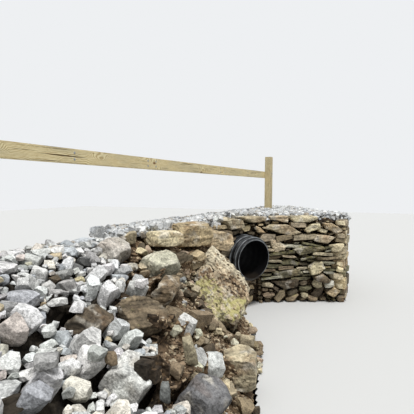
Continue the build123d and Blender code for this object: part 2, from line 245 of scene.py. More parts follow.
def voxelled(mesh, size, ease=0):
    """The closed skin of a mesh on an even grid, with its arrises eased by so many smoothings."""
    holder = in_scene("helper", mesh)
    remesh = holder.modifiers.new("remesh", "REMESH")
    remesh.mode = "VOXEL"
    remesh.voxel_size = size
    if ease:
        smooth = holder.modifiers.new("ease", "SMOOTH")
        smooth.factor = 0.5
        smooth.iterations = ease
    return evaluated(holder)


def united(nodes):
    """One skin round several CAD nodes that touch each other."""
    holder = in_scene("helper", merged_copy(nodes[:1]))
    others = [in_scene("helper", merged_copy([name])) for name in nodes[1:]]
    for other in others:
        union = holder.modifiers.new("union", "BOOLEAN")
        union.operation = "UNION"
        union.solver = "EXACT"
        union.object = other
    mesh = evaluated(holder)
    for other in others:
        bpy.data.objects.remove(other)
    return mesh


def coordinates(mesh):
    """Vertex positions and normals of a mesh as arrays."""
    places = np.empty(len(mesh.vertices) * 3)
    normals = np.empty(len(mesh.vertices) * 3)
    mesh.vertices.foreach_get("co", places)
    mesh.vertices.foreach_get("normal", normals)
    return places.reshape(-1, 3), normals.reshape(-1, 3)


def add_piece(name, mesh, material, slot, *nodes):
    """Put a finished mesh in the scene as a piece of the wall that stands for these nodes."""
    mesh.name = name
    mesh.materials.clear()
    mesh.materials.append(material)
    made = in_scene(name, mesh)
    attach(made, "root")
    if nodes:
        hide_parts(*nodes)
    return made


core_mesh = voxelled(united(MASSES), CORE_GRID)
places, normals = coordinates(core_mesh)
bank_edge_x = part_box("bank_end")[1].x
on_bank = (
    (places[:, 0] < bank_edge_x) & (places[:, 0] > cad_low.x + SIDE_SKIN) & (places[:, 1] < BANK_BACK_Y)
)
lumps = [noise.fractal(Vector(p) * CORE_LUMPS_PER_METRE, 1.0, 2.0, 3) for p in places]
to_stream = np.clip((places[:, 0] - STREAM_SLANT * places[:, 1] - EARTH_STARTS) / EARTH_FADE, 0.0, 1.0)
inward = np.where(on_bank, BANK_SHRINK - EARTH_RISE * to_stream, WALL_SHRINK)
inward = inward + CORE_LUMPS * np.array(lumps)
moved = places - normals * inward[:, None]
moved[places[:, 2] < FLOOR_LEVEL, 2] = 0.0
moved[:, 2] = np.maximum(moved[:, 2], 0.0)
core_mesh.vertices.foreach_set("co", moved.ravel())
core_mesh.update()
rubble_core = add_piece("rubble_core", core_mesh, packed_earth(), "packed_rubble", *MASSES)

# Stone
# Three kinds lie here: broken pale granite tipped on the bank, split buff sandstone built into
# the walls, and dark layered rock, damp and mossy, low down by the water. All are matt and rough.
STONE_COLOURS = {
    "white": "#e6e6e3",
    "cream": "#ded8cb",
    "pale": "#d3d3d0",
    "blue": "#babec1",
    "grey": "#adadaa",
    "slate": "#7c7c7b",
    "tan": "#bfb195",
    "yellow": "#bcb08f",
    "pink": "#d2c7be",
    "rust": "#ae9a84",
    "brown": "#918169",
    "dark": "#665b4a",
    "green": "#c8c4ae",
    "buff": "#d6c7a7",
    "sand": "#e0d2ae",
    "ochre": "#c2af8c",
    "deep": "#7c765c",
}
MOSS_TONES = ("#514f2b", "#8f8a50")
BRIGHT_MOSS = ("#4c4626", "#b0a970")
SPOT_SIZE = 0.028
STAIN_SIZE = 0.13
TUFT_SIZE = 0.05
LAYER_STRETCH = 0.14
BRIGHTEST = 1.16


def stone_material(
    name, speck_size, speck, mottle, layer_size, layering, shade_and_soil_below, moss_tones=MOSS_TONES, dirty=False
):
    """Weathered stone. Each stone has its own colour and moss in 'stone_colour' and its own
    places, in metres, in 'stone_place', so that specks, mottling and layers turn with the stone.
    Sizes are in metres; the other numbers say how much darker specks, spots, layers and the undersides are
    than the stone. The undersides are darkened as painted shade that stands in part for dirt, and faces that
    look up get a slight painted highlight."""
    material, tree, shader = new_material(name)
    colour = add(tree, "ShaderNodeAttribute", attribute_name="stone_colour")
    inside = add(tree, "ShaderNodeAttribute", attribute_name="stone_place").outputs["Vector"]
    grains = add(tree, "ShaderNodeTexVoronoi", {"Vector": inside, "Scale": 1 / speck_size}, feature="F1")
    grain = add(tree, "ShaderNodeSeparateColor", {0: grains.outputs["Color"]})
    spots = add(tree, "ShaderNodeTexNoise", {"Vector": inside, "Scale": 1 / SPOT_SIZE, "Detail": 4.0})
    stain = add(tree, "ShaderNodeTexNoise", {"Vector": inside, "Scale": 1 / STAIN_SIZE, "Detail": 5.0})
    tufts = add(tree, "ShaderNodeTexNoise", {"Vector": inside, "Scale": 1 / TUFT_SIZE, "Detail": 7.0})
    squash = add(
        tree, "ShaderNodeMapping", {"Vector": inside, "Scale": (LAYER_STRETCH, LAYER_STRETCH, 1.0)}
    )
    layers = add(
        tree, "ShaderNodeTexNoise",
        {"Vector": squash.outputs[0], "Scale": 1 / layer_size, "Detail": 5.0, "Distortion": 0.5},
    )
    shade = add(
        tree, "ShaderNodeMapRange", {0: grain.outputs[0], 1: 0.0, 2: 1.0, 3: 1 - speck, 4: 1 + speck * 0.5}
    ).outputs[0]
    for texture, low, high, darkest, lightest in (
        (spots, 0.36, 0.62, 1 - mottle, 1 + mottle * 0.5),
        (stain, 0.34, 0.66, 0.72, 1.14),
        (layers, 0.35, 0.58, 1 - layering, 1.08),
    ):
        tone = add(
            tree, "ShaderNodeMapRange",
            {0: texture.outputs["Fac"], 1: low, 2: high, 3: darkest, 4: lightest},
        )
        shade = add(tree, "ShaderNodeMath", {0: shade, 1: tone.outputs[0]}, operation="MULTIPLY").outputs[0]
    normal = add(tree, "ShaderNodeNewGeometry").outputs["Normal"]
    upness = add(tree, "ShaderNodeSeparateXYZ", {0: normal}).outputs["Z"]
    # Painted shade: faces that turn aside or down are darkened, standing in part for dirt there; faces that
    # look up are lightened a little as a painted highlight
    shade_and_soil_tone = add(tree, "ShaderNodeMapRange", {0: upness, 1: -0.4, 2: 0.6, 3: 1 - shade_and_soil_below, 4: 1.05})
    shade = add(tree, "ShaderNodeMath", {0: shade, 1: shade_and_soil_tone.outputs[0]}, operation="MULTIPLY").outputs[0]
    shade = add(tree, "ShaderNodeMath", {0: shade, 1: BRIGHTEST}, operation="MINIMUM").outputs[0]
    grey = add(tree, "ShaderNodeCombineColor", {i: shade for i in range(3)})
    stone = add(
        tree, "ShaderNodeMix", {0: 1.0, 6: colour.outputs["Color"], 7: grey.outputs[0]},
        data_type="RGBA", blend_type="MULTIPLY",
    )
    lifted = add(
        tree, "ShaderNodeMath", {0: upness, 1: 0.10, 2: tufts.outputs["Fac"]}, operation="MULTIPLY_ADD"
    )
    missing = add(tree, "ShaderNodeMath", {0: 1.0, 1: colour.outputs["Alpha"]}, operation="SUBTRACT")
    covered = add(
        tree, "ShaderNodeMath", {0: lifted.outputs[0], 1: missing.outputs[0]}, operation="SUBTRACT"
    )
    mossy = add(tree, "ShaderNodeMapRange", {0: covered.outputs[0], 1: -0.02, 2: 0.22, 4: 0.9})
    bare = stone.outputs[2]
    if dirty:
        dirt = add(tree, "ShaderNodeAttribute", attribute_name="stone_dirt").outputs["Fac"]
        bare = flaked(tree, inside, dirt, bare)[0]
    moss_depth = add(
        tree, "ShaderNodeMath", {0: spots.outputs["Fac"], 1: stain.outputs["Fac"]}, operation="ADD"
    )
    moss = add(
        tree, "ShaderNodeValToRGB", {"Fac": moss_depth.outputs[0]},
        stops=[(0.78, moss_tones[0]), (1.0, moss_tones[1])],
    ).outputs["Color"]
    final = add(tree, "ShaderNodeMix", {0: mossy.outputs[0], 6: bare, 7: moss}, data_type="RGBA")
    rough = add(
        tree, "ShaderNodeMath", {0: layers.outputs["Fac"], 1: layering * 2, 2: spots.outputs["Fac"]},
        operation="MULTIPLY_ADD",
    )
    coarse = add(tree, "ShaderNodeBump", {"Height": rough.outputs[0], "Strength": 0.8, "Distance": 0.018})
    fine = add(
        tree, "ShaderNodeBump",
        {"Height": grain.outputs[0], "Strength": 0.35, "Distance": 0.002, "Normal": coarse.outputs[0]},
    )
    tree.links.new(final.outputs[2], shader.inputs["Base Color"])
    tree.links.new(fine.outputs[0], shader.inputs["Normal"])
    shader.inputs["Roughness"].default_value = 0.86
    shader.inputs["Specular IOR Level"].default_value = 0.3
    return material


# Granite broken with a hammer: hard pale faces, peppered with crystals, with painted shade and some dirt on
# the faces that turn down
granite = stone_material(
    "broken_granite", speck_size=0.008, speck=0.34, mottle=0.28, layer_size=0.07, layering=0.10, shade_and_soil_below=0.32
)
# Sandstone split along its beds: warm, fine in the grain, banded and stained by iron
sandstone = stone_material(
    "split_sandstone", speck_size=0.005, speck=0.18, mottle=0.34, layer_size=0.045, layering=0.36,
    shade_and_soil_below=0.02,
)
# The leaning slab: the same stone left in the rain, coarse, blotched, with bright moss and dirt
slab_stone = stone_material(
    "weathered_sandstone_slab", speck_size=0.006, speck=0.24, mottle=0.40, layer_size=0.040, layering=0.44,
    shade_and_soil_below=0.20, moss_tones=BRIGHT_MOSS, dirty=True,
)
# Rock in thin sheets, damp at the stream: dark bands, dull green moss
schist = stone_material(
    "layered_mossy_rock", speck_size=0.006, speck=0.18, mottle=0.34, layer_size=0.028, layering=0.52,
    shade_and_soil_below=0.25,
)

SHALLOW_BREAK = 0.35
SHORTEST_EDGE = 0.02
LONG_EDGE = 0.22
HOLLOWS_PER_UNIT = 3.1
HOLLOW_SWELL = 0.026
HOLLOW_SINK = 0.016
SHARP_EDGE = math.radians(24)


class BrokenStone:
    """One stone on a unit scale: its skin, and the flat planes that bound it. It is a cube with so
    many corners broken off, so deep; 'boxy' is how far the breaks stay out towards the corners."""

    def __init__(self, seed, breaks, depth, wear=0.0, fine=0, boxy=1.0):
        chance = random.Random(seed)
        block = bmesh.new()
        bmesh.ops.create_cube(block, size=1.0)
        for _ in range(breaks):
            normal = Vector([chance.gauss(0, 1) for _ in range(3)]).normalized()
            corner = sum(abs(n) for n in normal)
            reach = 0.5 * (1 + (corner - 1) * boxy) * chance.uniform(1 - depth, 1 - depth * SHALLOW_BREAK)
            cut = bmesh.ops.bisect_plane(
                block, geom=block.verts[:] + block.edges[:] + block.faces[:],
                plane_co=normal * reach, plane_no=normal, clear_outer=True,
            )
            rim = [e for e in cut["geom_cut"] if isinstance(e, bmesh.types.BMEdge)]
            if len(rim) > 2:
                bmesh.ops.contextual_create(block, geom=rim)
        bmesh.ops.remove_doubles(block, verts=block.verts, dist=SHORTEST_EDGE)
        bmesh.ops.recalc_face_normals(block, faces=block.faces)
        self.normals = np.array([f.normal for f in block.faces])
        self.reaches = np.array([f.normal.dot(f.verts[0].co) for f in block.faces])
        if wear:
            bmesh.ops.bevel(
                block, geom=block.edges[:], offset=wear, segments=1, affect="EDGES", clamp_overlap=True
            )
        if fine:
            self.roughen(block, fine, seed)
        bmesh.ops.recalc_face_normals(block, faces=block.faces)
        block.verts.index_update()
        self.points = np.array([v.co for v in block.verts])
        self.faces = [[v.index for v in f.verts] for f in block.faces]
        block.free()

    def turned(self, size, turn):
        """Its points at a real size, turned, about its middle."""
        return (self.points * np.array(size)) @ np.array(turn).T

    def roughen(self, block, fine, seed):
        """Break the flat faces into hollows and swellings, for the most part inward of the planes."""
        bmesh.ops.triangulate(block, faces=block.faces)
        long_edges = [e for e in block.edges if e.calc_length() > LONG_EDGE]
        bmesh.ops.subdivide_edges(block, edges=long_edges, cuts=fine, use_grid_fill=True)
        bmesh.ops.triangulate(block, faces=block.faces)
        block.normal_update()
        for vertex in block.verts:
            swell = noise.fractal(vertex.co * HOLLOWS_PER_UNIT + Vector((seed, 0, 0)), 1.0, 2.0, 3)
            vertex.co += vertex.normal * (HOLLOW_SWELL * swell - HOLLOW_SINK)


broken = [BrokenStone(seed, 12, 0.22, wear=0.020, fine=1, boxy=0.25) for seed in range(100, 130)]
plain_broken = [BrokenStone(seed, 10, 0.24, wear=0.020, boxy=0.25) for seed in range(500, 524)]
slabby = [BrokenStone(seed, 8, 0.32, wear=0.018, fine=1) for seed in range(200, 218)]
plain_slabby = [BrokenStone(seed, 7, 0.32, wear=0.018) for seed in range(600, 624)]
squared = [BrokenStone(seed, 6, 0.24, wear=0.022) for seed in range(300, 318)]
small = [BrokenStone(seed, 9, 0.26, boxy=0.3) for seed in range(400, 424)]
GRAIN_STARTS = 97


def mark(mesh, name, kind, values):
    """Store a value for every vertex of a mesh, for its material to read."""
    field = {"FLOAT": "value", "FLOAT_VECTOR": "vector", "FLOAT_COLOR": "color"}[kind]
    mesh.attributes.new(name, kind, "POINT").data.foreach_set(field, np.ravel(values))


class Heap:
    """Stones gathered into one mesh, each with its own colour, moss and grain."""

    def __init__(self):
        self.points = []
        self.inside = []
        self.colours = []
        self.faces = []
        self.total = 0

    def add_stone(self, shape, turn, size, place, colour, moss):
        """Add a stone at its real size, turned, at its place."""
        local = shape.points * np.array(size)
        self.points.append(local @ np.array(turn).T + np.array(place))
        self.inside.append(local + self.total % GRAIN_STARTS)
        self.colours.append(np.tile([*colour[:3], moss], (len(local), 1)))
        self.faces.extend([[i + self.total for i in face] for face in shape.faces])
        self.total += len(local)

    def add_piece(self, name, material, slot, smooth=False):
        """Make the heap one piece of the wall."""
        mesh = bpy.data.meshes.new(name)
        mesh.from_pydata(np.concatenate(self.points), [], self.faces)
        mark(mesh, "stone_place", "FLOAT_VECTOR", np.concatenate(self.inside))
        mark(mesh, "stone_colour", "FLOAT_COLOR", np.concatenate(self.colours))
        if smooth:
            mesh.shade_smooth()
            mesh.set_sharp_from_angle(angle=SHARP_EDGE)
        return add_piece(name, mesh, material, slot)


def tinted(chance, name, spread=0.16):
    """A stone colour with a small change of its own."""
    lift = 1 + chance.uniform(-spread, spread)
    base = linear(STONE_COLOURS[name])
    return [min(1.0, part * lift * (1 + chance.uniform(-0.02, 0.02))) for part in base[:3]]


# Wall stones and large single stones
# These are the stones that carry the wall: split, hand-sized to two-man blocks of sandstone and
# layered rock, each bedded in the masonry. Their faces are rough, stepped along the bedding.
DRESSED_GRID = 0.014
SLAB_GRID = 0.010
EASE = 5
# Colour, moss and kind of each stone
DRESSED = {
    "cap_over_corner": ("buff", 0.08, sandstone),
    "lintel_over_pipe": ("buff", 0.16, sandstone),
    "cap_inner": ("buff", 0.06, sandstone),
    "cap_outer": ("sand", 0.06, sandstone),
    "wedge_by_pipe": ("ochre", 0.10, sandstone),
    "second_row_inner": ("buff", 0.10, sandstone),
    "second_row_middle": ("sand", 0.06, sandstone),
    "second_row_outer": ("ochre", 0.10, sandstone),
    "third_row_inner": ("buff", 0.08, sandstone),
    "third_row_outer": ("tan", 0.24, sandstone),
    "mossy_ledge_upper": ("deep", 0.42, schist),
    "mossy_ledge_lower": ("deep", 0.44, schist),
    "fifth_row_ledge": ("deep", 0.40, schist),
    "long_ledge": ("deep", 0.40, schist),
    "foot_stone": ("dark", 0.30, schist),
    "buff_stone": ("sand", 0.34, sandstone),
    "mossy_stone": ("brown", 0.36, schist),
    "nose_foot_inner": ("ochre", 0.18, sandstone),
    "nose_foot_outer": ("brown", 0.22, sandstone),
    "coping_left": ("sand", 0.05, sandstone),
    "coping_middle": ("ochre", 0.05, sandstone),
    "coping_right": ("ochre", 0.22, sandstone),
    "leaning_slab": ("buff", 0.30, slab_stone),
    "bank_stone_green": ("cream", 0.12, granite),
    "bank_stone_mossy": ("green", 0.20, granite),
    "bank_stone_long": ("brown", 0.10, schist),
    "bank_stone_ledge": ("dark", 0.08, schist),
    "bank_stone_brown": ("brown", 0.26, schist),
    "bank_stone_white": ("white", 0.0, granite),
    "bank_stone_grey": ("slate", 0.12, granite),
    "toe_boulder": ("tan", 0.20, sandstone),
}
# For each kind of stone: how thick its layers are, how deep the steps between them, and its slot
KINDS = {
    "broken_granite": (0.09, 0.004, "granite"),
    "split_sandstone": (0.050, 0.012, "buff_sandstone"),
    "weathered_sandstone_slab": (0.075, 0.030, "buff_sandstone"),
    "layered_mossy_rock": (0.032, 0.018, "mossy_stone"),
}
BENDS_PER_METRE = 4.0
RIPPLES_PER_METRE = 13.0
SWELLS_PER_METRE = 8.0
PITS_PER_METRE = 42.0
OPENINGS_PER_METRE = 6.0
RUST_PER_METRE = 5.0
BLEACH_PER_METRE = 6.5
LAYER_WANDER = 1.1
SEAM_SHARE = 0.11
STEP_SHARE = 0.75
SKIN = 0.004
PIT_DEPTH = 0.0018
SWELL = 0.010
SLAB_SWELL = 0.022
IRON = "#8f6238"
SEAM = "#2e261d"
BLEACHED = "#dcd5c6"


def blend(colour, other, share):
    """Mix of a linear colour with a hex colour."""
    return [a + (b - a) * share for a, b in zip(colour, linear(other))]


def smooth_step(low, high, value):
    """Rise from nothing at 'low' to one at 'high', eased at both ends."""
    eased = min(1.0, max(0.0, (value - low) / (high - low)))
    return eased * eased * (3 - 2 * eased)


# The slab that leans on the end of the bank: warm sandstone with its layers edge-on to the
# weather, bleached at the crown, dirt lodged across the middle and moss where it stays damp.
# A patch is its (middle, reach), in metres along the slab and up it, with its strength.
SLAB_CENTRE = Vector((-1.10, -0.05, 0.78))
SLAB_ALONG = Vector((0.73, -0.67, 0.13)).normalized()
SLAB_OUT = Vector((-0.555, -0.472, 0.684)).normalized()
SLAB_UP = SLAB_OUT.cross(SLAB_ALONG)
SLAB_LAYERS = (0.90, 0.43)
SLAB_CROWN = ((0.03, 0.47), (0.24, 0.20))
SLAB_DIRTY = [
    ((0.16, -0.02), (0.16, 0.25), 1.0), ((-0.12, 0.20), (0.16, 0.16), 0.85), ((0.02, 0.08), (0.30, 0.10), 0.7)
]
SLAB_MOSSY = [((-0.22, -0.06), (0.30, 0.38), 1.0), ((0.0, -0.30), (0.42, 0.26), 0.9)]
SLAB_GRAINS_PER_METRE = 26.0
SLAB_CRUMBS_PER_METRE = 55.0
DIRT_TONE = "#5e4a38"
CREAM_TONE = "#d8cdb2"
DAMP_TONE = "#3b3222"


def spot(u, v, middle, reach):
    """How far a place on the slab lies inside a patch: one in the middle, nothing at its rim."""
    away = math.hypot((u - middle[0]) / reach[0], (v - middle[1]) / reach[1])
    return smooth_step(0.0, 0.7, 1.0 - away)


def slab_weather(place, colour):
    """Colour, moss and dirt of the slab at a place, by where light, dirt and damp reach it."""
    offset = place - SLAB_CENTRE
    u, v = offset.dot(SLAB_ALONG), offset.dot(SLAB_UP)
    grain = noise.noise(place * SLAB_GRAINS_PER_METRE)
    crumbs = noise.noise(place * SLAB_CRUMBS_PER_METRE + Vector((3, 0, 0)))
    slant = u * SLAB_LAYERS[0] + v * SLAB_LAYERS[1]
    dirt, moss = [
        max(strength * spot(u, v, middle, reach) for middle, reach, strength in patches)
        for patches in (SLAB_DIRTY, SLAB_MOSSY)
    ]
    colour = [part * (1 + 0.22 * grain + 0.16 * crumbs) for part in colour]
    colour = blend(colour, CREAM_TONE, 0.75 * spot(u, v, *SLAB_CROWN) * (0.8 + 0.5 * grain))
    colour = blend(colour, CREAM_TONE, 0.75 * smooth_step(0.20, 0.29, slant + 0.05 * grain))
    colour = blend(colour, DIRT_TONE, min(0.92, 0.6 * dirt * smooth_step(-0.25, 0.35, crumbs + 0.6 * dirt)))
    colour = blend(colour, DAMP_TONE, 0.8 * smooth_step(-0.36, -0.52, v + 0.05 * grain))
    flakes = 0.05 + 0.85 * dirt * smooth_step(-0.4, 0.2, grain + 0.5 * dirt) + 0.10 * max(0.0, grain)
    return colour, 0.14 + 0.42 * min(1.0, 1.5 * moss), flakes


def bedding(name, material, chance):
    """Direction across the layers of a stone: upright in the walls, along the slab's own grain."""
    if name == "leaning_slab":
        return (SLAB_ALONG * SLAB_LAYERS[0] + SLAB_UP * SLAB_LAYERS[1]).normalized()
    tilt = 0.10 if material is not granite else 0.8
    return Vector((chance.uniform(-tilt, tilt), chance.uniform(-tilt, tilt), 1)).normalized()


def weathered(point, across, base, shift, material):
    """Depth of the broken skin at a point of a stone, and the colour there."""
    step, depth, _ = KINDS[material.name]
    bend = noise.noise(point * BENDS_PER_METRE + Vector((0, shift, 0)))
    warp = bend + 0.4 * noise.noise(point * RIPPLES_PER_METRE)
    level = point.dot(across) / step + LAYER_WANDER * warp
    layer = math.floor(level)
    within = level - layer
    stand = 0.5 + 0.5 * noise.cell(Vector((layer + 0.5, shift, 3.5)))
    seam = max(0.0, 1.0 - min(within, 1.0 - within) / SEAM_SHARE)
    open_seam = seam * (noise.noise(point * OPENINGS_PER_METRE + Vector((shift, layer, 0))) > -0.05)
    lump = noise.fractal(point * SWELLS_PER_METRE + Vector((shift, 0, 0)), 1.0, 2.0, 4)
    pit = noise.noise(point * PITS_PER_METRE + Vector((0, 0, shift)))
    swell = SLAB_SWELL if material is slab_stone else SWELL
    opened = STEP_SHARE * (1 - stand) + STEP_SHARE * open_seam
    dent = SKIN + depth * opened - swell * lump - PIT_DEPTH * pit
    rust = noise.fractal(point * RUST_PER_METRE + Vector((9, shift, 0)), 1.0, 2.0, 3)
    bleach = noise.fractal(point * BLEACH_PER_METRE + Vector((shift, 7, 0)), 1.0, 2.0, 3)
    rusty, pale = smooth_step(0.05, 0.55, rust), smooth_step(0.10, 0.60, bleach)
    colour = [part * (0.72 + 0.46 * stand + 0.20 * pit) for part in base[:3]]
    iron = 0.12 if material in (granite, schist) else 0.32
    colour = blend(colour, IRON, iron * rusty)
    colour = blend(colour, BLEACHED, (0.85 if material is slab_stone else 0.6) * pale)
    return dent, blend(colour, SEAM, min(1.0, 0.65 * open_seam + 0.25 * (1 - stand) * seam))


def dress(name, finish, chance):
    """Give a stone of the frame its broken skin: eased arrises, steps along the layers, pits."""
    colour_name, moss, material = finish
    is_slab = name == "leaning_slab"
    mesh = voxelled(merged_copy([name]), SLAB_GRID if is_slab else DRESSED_GRID, EASE)
    places, normals = coordinates(mesh)
    centre = places.mean(axis=0)
    across = bedding(name, material, chance)
    spin = across.to_track_quat("Z", "Y").to_matrix()
    shift = chance.uniform(0, 50)
    base = tinted(chance, colour_name)
    colours = np.empty((len(places), 4))
    dirt = np.zeros(len(places))
    for index, place in enumerate(places):
        point = Vector(place - centre)
        dent, colour = weathered(point, across, base, shift, material)
        if is_slab:
            colour, cover, dirt[index] = slab_weather(Vector(place), colour)
            colours[index] = (*colour, cover)
        else:
            colours[index] = (*colour, moss)
        places[index] -= normals[index] * dent
    inside = (places - centre) @ np.array(spin) + shift
    places[:, 2] = np.maximum(places[:, 2], 0.0)
    mesh.vertices.foreach_set("co", places.ravel())
    mark(mesh, "stone_place", "FLOAT_VECTOR", inside)
    mark(mesh, "stone_colour", "FLOAT_COLOR", colours)
    if is_slab:
        mark(mesh, "stone_dirt", "FLOAT", dirt)
    mesh.shade_smooth()
    return add_piece(name + "_dressed", mesh, material, KINDS[material.name][2], name)


dressing = random.Random(7)
dressed = [dress(name, finish, dressing) for name, finish in DRESSED.items()]

# Bank of broken stone
# Quarry stone tipped on the slope and settled by hand: angular pale granite from fist size to
# a third of a metre, a few brown and rusty ones, dark gaps between them. Each is laid downward
# until it touches what already lies there.
BED_CELL = 0.012
BANK_RIGHT = 1.35
BANK_EDGE = 0.012
LIMIT_GAP = 0.002
UNDER = -9.0
OVER = 9.0
RAY_START = 5.0


def tree_of(solid):
    """Search tree of a piece, for casting rays at it."""
    mesh = bmesh.new()
    mesh.from_mesh(solid.data)
    tree = BVHTree.FromBMesh(mesh)
    mesh.free()
    return tree


class Bed:
    """Height of what lies on the bank, on a fine grid, for laying stones under their weight."""

    def __init__(self, low, high, objects):
        self.low = low
        self.nx = int((high[0] - low[0]) / BED_CELL)
        self.ny = int((high[1] - low[1]) / BED_CELL)
        self.heights = np.full((self.nx, self.ny), UNDER)
        self.cover(objects)

    def cover(self, objects):
        """Raise the heights to what lies there already."""
        down = Vector((0, 0, -1))
        for solid in objects:
            tree = tree_of(solid)
            places = coordinates(solid.data)[0]
            x0, y0 = places.min(axis=0)[:2]
            x1, y1 = places.max(axis=0)[:2]
            for i in range(max(0, self.column(x0)), min(self.nx, self.column(x1) + 1)):
                for j in range(max(0, self.row(y0)), min(self.ny, self.row(y1) + 1)):
                    x, y = self.low[0] + i * BED_CELL, self.low[1] + j * BED_CELL
                    hit = tree.ray_cast(Vector((x, y, RAY_START)), down)[0]
                    if hit is not None and hit.z > self.heights[i, j]:
                        self.heights[i, j] = hit.z

    def column(self, x):
        """Number of the grid's column at x."""
        return int((x - self.low[0]) / BED_CELL)

    def row(self, y):
        """Number of the grid's row at y."""
        return int((y - self.low[1]) / BED_CELL)

    def faces_of(self, shape, turn, size, x, y):
        """Top and bottom heights of a stone centred at height zero, over the cells below it."""
        turn = np.array(turn)
        normals = (shape.normals / np.array(size)) @ turn.T
        lengths = np.linalg.norm(normals, axis=1)
        reaches = shape.reaches / lengths
        normals = normals / lengths[:, None]
        points = shape.turned(size, turn)
        x0, y0 = points.min(axis=0)[:2]
        x1, y1 = points.max(axis=0)[:2]
        i0, i1 = self.column(x + x0), self.column(x + x1) + 1
        j0, j1 = self.row(y + y0), self.row(y + y1) + 1
        if i0 < 0 or j0 < 0 or i1 >= self.nx or j1 >= self.ny:
            return None
        xs = self.low[0] + np.arange(i0, i1) * BED_CELL - x
        ys = self.low[1] + np.arange(j0, j1) * BED_CELL - y
        gx, gy = np.meshgrid(xs, ys, indexing="ij")
        top = np.full(gx.shape, OVER)
        bottom = np.full(gx.shape, UNDER)
        for normal, reach in zip(normals, reaches):
            if abs(normal[2]) < 1e-4:
                outside = gx * normal[0] + gy * normal[1] > reach
                top[outside] = UNDER
                continue
            height = (reach - gx * normal[0] - gy * normal[1]) / normal[2]
            if normal[2] > 0:
                top = np.minimum(top, height)
            else:
                bottom = np.maximum(bottom, height)
        inside = top > bottom
        return (slice(i0, i1), slice(j0, j1)), top, bottom, inside

    def resting(self, found):
        """Height at which the stone's centre comes to rest."""
        window, _, bottom, inside = found
        gaps = self.heights[window] - bottom
        return gaps[inside].max() if inside.any() else UNDER

    def take(self, found, height):
        """Raise the heights to the top of a stone laid at this height."""
        window, top, _, inside = found
        area = self.heights[window]
        area[inside] = np.maximum(area[inside], top[inside] + height)


bank_low = (cad_low.x + BANK_EDGE, cad_low.y + BANK_EDGE)
bank_high = (BANK_RIGHT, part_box("fill_left")[1].y)
ground_nodes = ("bank", "bank_end", "fill_left", "pipe_surround", "shoulder_left")
surface = Bed(bank_low, bank_high, [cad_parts[name] for name in ground_nodes])
low_stones = ("bank", "toe", "coping", "leaning", "lintel", "cap_over")
bank_dressed = [stone for stone in dressed if stone.name.startswith(low_stones)]
bed = Bed(bank_low, bank_high, [rubble_core] + bank_dressed)
surface_tree = tree_of(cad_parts["bank"])
left_tree = tree_of(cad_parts["fill_left"])

# The largest stones of the heap, which stand out of the bank in staggered rows
HEAP_SEED = 4
HEAP_STONE = (0.26, 0.21, 0.19)
HEAP_SPREAD = 0.15
HEAP_SPACING = 0.40
HEAP_ROW_SPACING = 0.35
HEAP_MARGIN = 0.24
HEAP_JITTER = 0.05
HEAP_TILT = 14
HEAP_RISE = 0.02
HEAP_LOWEST = 0.18
HEAP_RIGHT_X = -1.9
HEAP_BACK_Y = 0.5
CREST = Vector((0, 0.75, 1.40))
TOE_HEIGHT = 0.06
FOOT_LEFT = Vector((-2.13, -0.87, 0))
FOOT_CORNER = Vector((-0.89, -0.50, 0))
bank_angle = math.atan2(CREST.z - TOE_HEIGHT, CREST.y - cad_low.y)
foot_out = (FOOT_CORNER - FOOT_LEFT).normalized().cross(Vector((0, 0, 1)))


def slope_height(x, y):
    """Height of the bank's even surface over a place in plan."""
    main = CREST.z - (CREST.y - y) * math.tan(bank_angle)
    foot = -(Vector((x, y, 0)) - FOOT_LEFT).dot(foot_out)
    return min(main, foot)


def heap_stones():
    """Place, turn and size of the largest stones of the bank."""
    chance = random.Random(HEAP_SEED)
    first_x = HEAP_MARGIN + cad_low.x
    first_y = HEAP_MARGIN + cad_low.y
    columns = math.ceil((HEAP_RIGHT_X - first_x) / HEAP_SPACING)
    rows = math.ceil((HEAP_BACK_Y - first_y) / HEAP_ROW_SPACING)
    for row in range(rows):
        for column in range(columns):
            x = first_x + (column + row % 2 / 2) * HEAP_SPACING + chance.uniform(-1, 1) * HEAP_JITTER
            y = first_y + row * HEAP_ROW_SPACING + chance.uniform(-1, 1) * HEAP_JITTER
            size = [length * chance.uniform(1 - HEAP_SPREAD, 1 + HEAP_SPREAD) for length in HEAP_STONE]
            turn = math.radians(chance.uniform(0, 180))
            tip = math.radians(chance.uniform(-1, 1) * HEAP_TILT)
            roll = bank_angle + math.radians(chance.uniform(-1, 1) * HEAP_TILT)
            spin = Matrix.Rotation(roll, 3, "X") @ Matrix.Rotation(tip, 3, "Y")
            spin = spin @ Matrix.Rotation(turn, 3, "Z")
            z = slope_height(x, y)
            if z > HEAP_LOWEST:
                yield Vector((x, y, z + HEAP_RISE)), spin, size


